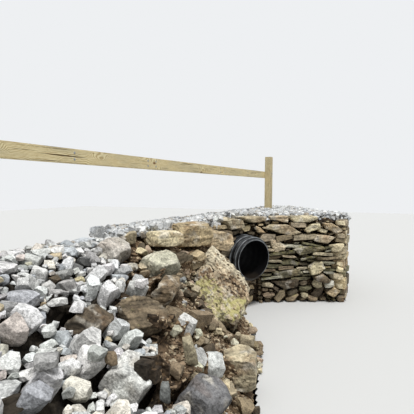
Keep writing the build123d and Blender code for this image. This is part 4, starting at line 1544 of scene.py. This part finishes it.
def earth_between_stones():
    """The open earth of the bank, where no stone lies on it, as a mesh of its own."""
    ground = bmesh.new()
    ground.from_mesh(rubble_core.data)
    covered = []
    for face in ground.faces:
        centre = face.calc_center_median()
        i, j = bed.column(centre.x), bed.row(centre.y)
        inside = 0 <= i < bed.nx and 0 <= j < bed.ny
        away = centre.x > bank_edge_x - CHIP_EDGE or centre.y > CHIP_BACK_Y or centre.z < CHIP_EDGE
        pale = centre.x - STREAM_SLANT * centre.y < FIELD_STONE_STARTS
        steep = face.normal.z < CHIP_STEEPEST
        if away or pale or steep or not inside or bed.heights[i, j] > centre.z + CHIP_COVER:
            covered.append(face)
    bmesh.ops.delete(ground, geom=covered, context="FACES")
    mesh = bpy.data.meshes.new("open_earth")
    ground.to_mesh(mesh)
    ground.free()
    return mesh


chip_library = stone_library("earth_chips", 8, CHIP_NOMINAL, 4, 0.5, flat=CHIP_FLAT)
chip_scatter = scatter_tree("strewn_chips", CHIP_TONES, 0.5)
chips = strewn(
    earth_between_stones(), chip_scatter, Stones=chip_library, Spacing=CHIP_SPACING,
    Smallest=CHIP_SMALLEST, Largest=CHIP_LARGEST, Lift=CHIP_LIFT, Seed=11, Finish=sandstone,
)
add_piece("earth_chips", chips, sandstone, "packed_rubble")

# Pipe
# Corrugated polyethylene drain pipe with a smooth bore, nominal 24 inch, cut square with a saw.
# Black, half matt, with a film of dust on its ribs, pale painted highlights that stand also for wear along
# the shoulders of its ribs and round the mouth, and silt along the foot of the bore.
PIPE_BORE = 0.306
PIPE_VALLEY = 0.322
PIPE_PITCH = 0.132
PIPE_RIBS = 10
PIPE_SEGMENTS = 112
PIPE_EDGE = 0.003
RIB_SHARES = (0.03, 0.12, 0.17, 0.205, 0.24, 0.275, 0.31, 0.40, 0.60, 0.69, 0.725, 0.76, 0.795, 0.83, 0.88)
FLANK = (0.15, 0.33)
LINER_WAVE = 0.0022
LINER_STEP = 0.024
FILM_SIZE = 0.09
PLASTIC_GRAIN = 0.006
# How strongly the ribs carry the painted highlight, which stands also for wear, by their share of the pitch
RIB_HIGHLIGHT_AND_WEAR = {0.275: 0.5, 0.31: 1.0, 0.40: 0.25, 0.60: 0.25, 0.69: 1.0, 0.725: 0.5}
PIPE_BLACK = "#08090b"
PIPE_DUST_AND_HIGHLIGHT = "#94989b"
LINER_BLACK = "#08080a"
SILT = "#1f1a15"


def pipe_profile():
    """Section of the pipe's wall as (place along the axis, radius, painted highlight and wear): ribs outside,
    liner inside."""
    length = PIPE_PITCH * PIPE_RIBS
    section = [(0.0, PIPE_VALLEY - PIPE_EDGE, 1.0), (PIPE_EDGE * 0.3, PIPE_VALLEY - PIPE_EDGE * 0.3, 1.0)]
    for rib in range(PIPE_RIBS):
        for share in RIB_SHARES:
            rise = smooth_step(*FLANK, share) * smooth_step(*FLANK, 1 - share)
            radius = PIPE_VALLEY + (PIPE_CREST - PIPE_VALLEY) * rise
            section.append(((rib + share) * PIPE_PITCH, radius, RIB_HIGHLIGHT_AND_WEAR.get(share, 0.0)))
    section += [(length, PIPE_VALLEY, 0.0), (length, PIPE_BORE + PIPE_EDGE, 0.0)]
    steps = int(length / LINER_STEP)
    for step in range(steps - 1, 0, -1):
        place = step * LINER_STEP
        wave = 0.5 - 0.5 * math.cos(math.tau * place / PIPE_PITCH)
        section.append((place, PIPE_BORE + LINER_WAVE * wave, 0.0))
    section += [(PIPE_EDGE * 0.3, PIPE_BORE + PIPE_EDGE * 0.3, 0.0), (0.0, PIPE_BORE + PIPE_EDGE, 0.4)]
    return section


def polyethylene(name, black, dust_and_highlight_colour, dusty_most, specular, smoothest):
    """Black plastic that has stood outdoors: soft sheen, pale grey on the crests of the ribs as painted
    highlight and wear, dust where it faces up, silt along the foot."""
    material, tree, shader = new_material(name)
    place = add(tree, "ShaderNodeTexCoord").outputs["Object"]
    split = add(tree, "ShaderNodeSeparateXYZ", {0: place})
    cloud = add(tree, "ShaderNodeTexNoise", {"Vector": place, "Scale": 1 / FILM_SIZE, "Detail": 6.0})
    fine = add(tree, "ShaderNodeTexNoise", {"Vector": place, "Scale": 1 / PLASTIC_GRAIN, "Detail": 2.0})
    normal = add(tree, "ShaderNodeNewGeometry").outputs["Normal"]
    up = add(tree, "ShaderNodeSeparateXYZ", {0: normal}).outputs["Z"]
    settled = add(tree, "ShaderNodeMath", {0: up, 1: 0.5, 2: cloud.outputs["Fac"]}, operation="MULTIPLY_ADD")
    dusty = add(tree, "ShaderNodeMapRange", {0: settled.outputs[0], 1: 0.55, 2: 1.05, 3: 0.0, 4: dusty_most})
    # Painted highlight: pale lines along the shoulders of the ribs and round the mouth, which stand also for
    # wear
    edge = add(tree, "ShaderNodeAttribute", attribute_name="rubbed").outputs["Fac"]
    rubbed = add(tree, "ShaderNodeMapRange", {0: cloud.outputs["Fac"], 1: 0.35, 2: 0.62, 3: 0.25, 4: 0.9})
    highlight_and_wear_share = add(tree, "ShaderNodeMath", {0: edge, 1: rubbed.outputs[0]}, operation="MULTIPLY")
    # The pale share and the dust mix below carry both the dust that faces up and the painted highlight of the
    # ribs
    pale = add(tree, "ShaderNodeMath", {0: dusty.outputs[0], 1: highlight_and_wear_share.outputs[0]}, operation="MAXIMUM")
    dust = add(
        tree, "ShaderNodeMix", {0: pale.outputs[0], 6: linear(black), 7: linear(dust_and_highlight_colour)},
        data_type="RGBA",
    )
    low = add(tree, "ShaderNodeMath", {0: cloud.outputs["Fac"], 1: 0.10, 2: 0.52}, operation="MULTIPLY_ADD")
    depth = add(tree, "ShaderNodeMath", {0: low.outputs[0], 1: split.outputs["Z"]}, operation="SUBTRACT")
    silty = add(tree, "ShaderNodeMapRange", {0: depth.outputs[0], 1: -0.01, 2: 0.03})
    final = add(
        tree, "ShaderNodeMix", {0: silty.outputs[0], 6: dust.outputs[2], 7: linear(SILT)}, data_type="RGBA"
    )
    rough = add(
        tree, "ShaderNodeMapRange",
        {0: cloud.outputs["Fac"], 1: 0.3, 2: 0.7, 3: smoothest, 4: smoothest + 0.2},
    )
    bump = add(tree, "ShaderNodeBump", {"Height": fine.outputs["Fac"], "Strength": 0.15, "Distance": 0.001})
    tree.links.new(final.outputs[2], shader.inputs["Base Color"])
    tree.links.new(rough.outputs[0], shader.inputs["Roughness"])
    tree.links.new(bump.outputs[0], shader.inputs["Normal"])
    shader.inputs["Specular IOR Level"].default_value = specular
    return material


profile = np.array(pipe_profile())
angles = np.linspace(0, math.tau, PIPE_SEGMENTS, endpoint=False)
across = np.array((math.sin(PIPE_SKEW), -math.cos(PIPE_SKEW), 0.0))
above = np.cross(np.array(pipe_inward), across)
rings = np.cos(angles)[:, None] * across + np.sin(angles)[:, None] * above
centres = np.array(PIPE_AXIS_POINT) + profile[:, :1] * np.array(pipe_inward)
points = (centres[:, None, :] + profile[:, 1][:, None, None] * rings[None]).reshape(-1, 3)
ring_count = len(profile)
faces = []
for i in range(ring_count):
    here, after = i * PIPE_SEGMENTS, (i + 1) % ring_count * PIPE_SEGMENTS
    for j in range(PIPE_SEGMENTS):
        beside = (j + 1) % PIPE_SEGMENTS
        faces.append((here + j, after + j, after + beside, here + beside))
pipe_mesh = bpy.data.meshes.new("pipe")
pipe_mesh.from_pydata(points, [], faces)
mark(pipe_mesh, "rubbed", "FLOAT", np.repeat(profile[:, 2], PIPE_SEGMENTS))
turned = bmesh.new()
turned.from_mesh(pipe_mesh)
bmesh.ops.recalc_face_normals(turned, faces=turned.faces)
turned.to_mesh(pipe_mesh)
turned.free()
pipe_mesh.shade_smooth()
# Outside a soft sheen under pale dust, with painted highlights on the ribs; in the bore a duller black with
# less sheen, which paints the shade inside it, with silt in it
outside = polyethylene("weathered_black_polyethylene", PIPE_BLACK, PIPE_DUST_AND_HIGHLIGHT, 0.12, 0.3, 0.24)
liner = polyethylene("wet_pipe_liner", LINER_BLACK, SILT, 0.2, 0.10, 0.50)
add_piece("corrugated_pipe", pipe_mesh, outside, "pipe_plastic", "pipe")
pipe_mesh.materials.append(liner)
liner_starts = int(np.argmax(profile[:, 1] < PIPE_BORE + PIPE_EDGE * 1.01))
ring_of_face = np.arange(len(faces)) // PIPE_SEGMENTS
in_liner = (ring_of_face >= liner_starts) & (ring_of_face < ring_count - 2)
pipe_mesh.polygons.foreach_set("material_index", in_liner.astype(int))

# Guard rail
# Rough-sawn pine, pressure treated and gone pale in the weather: two square posts and a rail of
# two plies of 38 mm boards with staggered joints, held by galvanised carriage bolts.
TIMBERS = (
    "post_left", "post_right", "rail_front_left", "rail_front_right", "rail_back_left", "rail_back_right"
)
POST_SIDE = 0.14
ARRIS = 0.004
SLICE = 0.12
SAWN = 0.0012
SAW_WAVES_PER_METRE = 2.2
POST_TONES = ("#a08a60", "#d2c49c")
RAIL_TONES = ("#b29a69", "#e6d9ae")
KNOT_TONE = "#6d4b2c"
GREY_TONE = "#aaa48c"
CHECK_TONE = "#4d3b26"
# Growth rings: a full turn of the sine every 2 pi / (13 * 42) = 11.5 mm across the face, and
# every 2 pi / (9 * 42) = 16.6 mm through the thickness
RINGS_ACROSS = 13.0
RINGS_THROUGH = 9.0
RING_TURNS = 42.0
WANDER_SIZE = 0.3125
KNOT_SPACING = 1 / 2.1
GREY_PATCH = 1 / 9
FIBRE = 0.0028
CHECK_SPACING = 0.011
ZINC_FLOWER = 0.006
ZINC_TONES = [(0.0, "#7f8284"), (1.0, "#b4b7b9")]
BOLT_HEAD = 0.013
BOLT_RISE = 0.006
NUT_SIDE = 0.0095
WASHER = 0.017


def sawn_timber(name, tones):
    """Weathered pine: growth lines along the board, knots, fine drying checks, dry and matt."""
    material, tree, shader = new_material(name)
    grain = add(tree, "ShaderNodeAttribute", attribute_name="grain").outputs["Vector"]
    long, round_knots, patchy, fibrous, cracked = [
        add(tree, "ShaderNodeMapping", {"Vector": grain, "Scale": stretch}).outputs[0]
        for stretch in (
            (0.55, 1.0, 1.0), (1.0, 2.4, 0.6), (0.25, 1.0, 1.0), (0.03, 1.0, 1.0), (0.018, 1.0, 1.0)
        )
    ]
    wander, fibre, weather, cracks = [
        add(tree, "ShaderNodeTexNoise", {"Vector": place, "Scale": 1 / size, "Detail": detail}).outputs["Fac"]
        for place, size, detail in (
            (long, WANDER_SIZE, 2.0), (fibrous, FIBRE, 3.0), (patchy, GREY_PATCH, 5.0),
            (cracked, CHECK_SPACING, 1.0),
        )
    ]
    knots = add(
        tree, "ShaderNodeTexVoronoi", {"Vector": round_knots, "Scale": 1 / KNOT_SPACING}, feature="F1"
    ).outputs["Distance"]
    knot = add(tree, "ShaderNodeMapRange", {0: knots, 1: 0.10, 2: 0.055})
    pull = add(tree, "ShaderNodeMapRange", {0: knots, 1: 0.40, 2: 0.05, 3: 0.0, 4: 0.9})
    # The rings wander, and swerve round the knots
    depth = add(tree, "ShaderNodeMath", {0: wander, 1: 2.4, 2: pull.outputs[0]}, operation="MULTIPLY_ADD")
    split = add(tree, "ShaderNodeSeparateXYZ", {0: grain})
    for way, rate in (("Y", RINGS_ACROSS), ("Z", RINGS_THROUGH)):
        depth = add(
            tree, "ShaderNodeMath", {0: split.outputs[way], 1: rate, 2: depth.outputs[0]},
            operation="MULTIPLY_ADD",
        )
    ringed = add(tree, "ShaderNodeMath", {0: depth.outputs[0], 1: RING_TURNS}, operation="MULTIPLY")
    rings = add(tree, "ShaderNodeMath", {0: ringed.outputs[0]}, operation="SINE")
    tone = add(tree, "ShaderNodeMath", {0: rings.outputs[0], 1: 0.22, 2: fibre}, operation="MULTIPLY_ADD")
    wood = add(
        tree, "ShaderNodeValToRGB", {"Fac": tone.outputs[0]}, stops=[(0.30, tones[0]), (0.58, tones[1])]
    )
    greyed = add(tree, "ShaderNodeMapRange", {0: weather, 1: 0.42, 2: 0.72, 3: 0.0, 4: 0.5})
    crack = add(tree, "ShaderNodeMapRange", {0: cracks, 1: 0.675, 2: 0.71})
    colour = wood.outputs["Color"]
    for share, over in ((knot, KNOT_TONE), (greyed, GREY_TONE), (crack, CHECK_TONE)):
        colour = add(
            tree, "ShaderNodeMix", {0: share.outputs[0], 6: colour, 7: linear(over)}, data_type="RGBA"
        ).outputs[2]
    height = add(tree, "ShaderNodeMath", {0: fibre, 1: crack.outputs[0]}, operation="SUBTRACT")
    bump = add(tree, "ShaderNodeBump", {"Height": height.outputs[0], "Strength": 0.5, "Distance": 0.0015})
    tree.links.new(colour, shader.inputs["Base Color"])
    tree.links.new(bump.outputs[0], shader.inputs["Normal"])
    shader.inputs["Roughness"].default_value = 0.8
    shader.inputs["Specular IOR Level"].default_value = 0.3
    return material


def galvanised():
    """Hot-dip zinc on a bolt: mid grey with a soft sheen and faint crystal patches."""
    material, tree, shader = new_material("galvanised_steel")
    place = add(tree, "ShaderNodeTexCoord").outputs["Object"]
    flower = add(tree, "ShaderNodeTexVoronoi", {"Vector": place, "Scale": 1 / ZINC_FLOWER}, feature="F1")
    tone = add(tree, "ShaderNodeSeparateColor", {0: flower.outputs["Color"]})
    colour = add(tree, "ShaderNodeValToRGB", {"Fac": tone.outputs[0]}, stops=ZINC_TONES)
    tree.links.new(colour.outputs["Color"], shader.inputs["Base Color"])
    shader.inputs["Metallic"].default_value = 0.85
    shader.inputs["Roughness"].default_value = 0.48
    return material


def saw(name, chance, finish):
    """A timber of the frame with eased arrises and the slight unevenness of the saw."""
    stick = bmesh.new()
    stick.from_mesh(merged_copy([name]))
    bmesh.ops.dissolve_limit(stick, angle_limit=0.01, verts=stick.verts, edges=stick.edges)
    bmesh.ops.bevel(stick, geom=stick.edges[:], offset=ARRIS, segments=2, affect="EDGES")
    low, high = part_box(name)
    run = high - low
    axis = 0 if run.x > run.z else 2
    step_normal = Vector((1, 0, 0)) if axis == 0 else Vector((0, 0, 1))
    place = low[axis] + SLICE
    while place < high[axis] - SLICE / 2:
        at = Vector(low)
        at[axis] = place
        bmesh.ops.bisect_plane(
            stick, geom=stick.verts[:] + stick.edges[:] + stick.faces[:], plane_co=at, plane_no=step_normal
        )
        place += SLICE
    shift = chance.uniform(0, 40)
    stick.normal_update()
    middle = (low + high) / 2
    for vertex in stick.verts:
        wave = noise.noise(Vector((vertex.co[axis] * SAW_WAVES_PER_METRE, shift, vertex.co.y * 9)))
        inward = middle - vertex.co
        inward[axis] = 0
        if inward.length > 0:
            vertex.co += inward.normalized() * SAWN * (0.5 + 0.5 * wave)
    mesh = bpy.data.meshes.new(name)
    stick.to_mesh(mesh)
    stick.free()
    places = coordinates(mesh)[0]
    order = (0, 2, 1) if axis == 0 else (2, 0, 1)
    mark(mesh, "grain", "FLOAT_VECTOR", places[:, order] + shift)
    return add_piece(name + "_timber", mesh, finish, "treated_timber", name)


sawing = random.Random(5)
# The posts have gone browner in the damp than the rail, which is still the colour of straw
post_pine = sawn_timber("weathered_pine_post", POST_TONES)
rail_pine = sawn_timber("weathered_pine_rail", RAIL_TONES)
for name in TIMBERS:
    saw(name, sawing, post_pine if name.startswith("post") else rail_pine)


def turned_part(mesh, at, outward, section, sides):
    """A small turned or hexagonal part, closed, with its (distance along the axis, radius) section."""
    spin = outward.to_track_quat("Z", "Y").to_matrix()
    loops = []
    for reach, radius in section:
        rim = [math.tau * k / sides for k in range(sides)]
        rim = [Vector((radius * math.cos(a), radius * math.sin(a), reach)) for a in rim]
        loops.append([mesh.verts.new(at + spin @ place) for place in rim])
    for lower, upper in zip(loops, loops[1:]):
        for k in range(sides):
            after = (k + 1) % sides
            mesh.faces.new((lower[k], lower[after], upper[after], upper[k]))
    mesh.faces.new(loops[0][::-1])
    mesh.faces.new(loops[-1])


def bolt(mesh, x, z, front, back, head_on_front):
    """A carriage bolt from the front to the back of the timbers: head one side, nut the other."""
    ends = ((front, Vector((0, -1, 0))), (back, Vector((0, 1, 0))))
    head_end, nut_end = ends if head_on_front else ends[::-1]
    dome = [(BOLT_RISE * math.sin(a), BOLT_HEAD * math.cos(a)) for a in (0.0, 0.35, 0.7, 1.05, 1.35, 1.5)]
    turned_part(mesh, Vector((x, head_end[0], z)), head_end[1], [(-0.002, BOLT_HEAD)] + dome, 20)
    spot = Vector((x, nut_end[0], z))
    turned_part(mesh, spot, nut_end[1], [(-0.001, WASHER), (0.0018, WASHER), (0.0022, WASHER - 0.001)], 24)
    turned_part(mesh, spot, nut_end[1], [(0.002, NUT_SIDE), (0.0095, NUT_SIDE), (0.0105, NUT_SIDE * 0.9)], 6)
    turned_part(mesh, spot, nut_end[1], [(0.009, 0.005), (0.016, 0.005), (0.017, 0.004)], 12)


# The bolts stand in pairs: through each post, on both sides of each joint and in the long boards
BOLT_SHARES = (0.28, 0.72)
FROM_JOINT = 0.09
SINGLE_PAIRS = (-2.55, 2.3)
SEATED = 0.001
bolts = bmesh.new()
rail_low, rail_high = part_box("rail_front_left")
back_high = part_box("rail_back_left")[1]
rail_z = [rail_low.z + share * (rail_high.z - rail_low.z) for share in BOLT_SHARES]
for post in ("post_left", "post_right"):
    low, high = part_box(post)
    lean = high.x - low.x - POST_SIDE
    for z in rail_z:
        x = low.x + POST_SIDE / 2 + lean * (z - low.z) / (high.z - low.z)
        bolt(bolts, x, z, low.y + SEATED, back_high.y, False)
pairs = [joint + side for joint in (rail_high.x, back_high.x) for side in (-FROM_JOINT, FROM_JOINT)]
for x in (*pairs, *SINGLE_PAIRS):
    for z in rail_z:
        bolt(bolts, x, z, rail_low.y + SEATED, back_high.y, True)
bmesh.ops.recalc_face_normals(bolts, faces=bolts.faces)
bolt_mesh = bpy.data.meshes.new("rail_bolts")
bolts.to_mesh(bolt_mesh)
bolts.free()
bolt_mesh.materials.append(galvanised())
rail_bolts = in_scene("rail_bolts", bolt_mesh)
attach(rail_bolts, "root")

# Floor and light
# A pale, plain floor under an overcast sky that lights more from overhead than from the sides,
# and one broad soft lamp above and behind the viewer. Seen directly, the sky is even and pale.
FLOOR_SIDE = 60.0
FLOOR_COLOUR = "#c7c7c5"
SKY_COLOUR = "#eef0f2"
SKY_LOW = 0.14
SKY_HIGH = 1.00
LAMP_LIGHT = 2.60
LAMP_WIDTH = math.radians(14)
LAMP_AIM = Vector((0.34, 0.30, -1.0))

floor_mesh = bpy.data.meshes.new("floor")
half = FLOOR_SIDE / 2
corners = [(-half, -half, 0), (half, -half, 0), (half, half, 0), (-half, half, 0)]
floor_mesh.from_pydata(corners, [], [(0, 1, 2, 3)])
floor_material, _, floor_shader = new_material("plain_floor")
floor_shader.inputs["Base Color"].default_value = linear(FLOOR_COLOUR)
floor_shader.inputs["Roughness"].default_value = 0.9
floor_mesh.materials.append(floor_material)
floor = in_scene("floor", floor_mesh)

world = bpy.data.worlds.new("studio")
bpy.context.scene.world = world
world.use_nodes = True
sky_tree = world.node_tree
sky_tree.nodes.clear()
ray = add(sky_tree, "ShaderNodeLightPath").outputs
direct = add(
    sky_tree, "ShaderNodeMath", {0: ray["Is Camera Ray"], 1: ray["Is Glossy Ray"]}, operation="MAXIMUM"
)
direct = add(
    sky_tree, "ShaderNodeMath", {0: direct.outputs[0], 1: ray["Is Transmission Ray"]}, operation="MAXIMUM"
)
way = add(sky_tree, "ShaderNodeTexCoord").outputs["Generated"]
climb = add(sky_tree, "ShaderNodeSeparateXYZ", {0: way}).outputs["Z"]
strength = add(sky_tree, "ShaderNodeMapRange", {0: climb, 1: -0.1, 2: 0.9, 3: SKY_LOW, 4: SKY_HIGH})
lighting, backdrop = [
    add(sky_tree, "ShaderNodeBackground", {"Color": linear(SKY_COLOUR), "Strength": value}).outputs[0]
    for value in (strength.outputs[0], 1.0)
]
sky = add(sky_tree, "ShaderNodeMixShader", {0: direct.outputs[0], 1: lighting, 2: backdrop})
add(sky_tree, "ShaderNodeOutputWorld", {0: sky.outputs[0]})

lamp = in_scene("lamp", bpy.data.lights.new("lamp", "SUN"))
lamp.data.energy = LAMP_LIGHT
lamp.data.angle = LAMP_WIDTH
lamp.rotation_mode = "QUATERNION"
lamp.rotation_quaternion = LAMP_AIM.to_track_quat("-Z", "Y")

bpy.context.scene.view_settings.view_transform = "Standard"
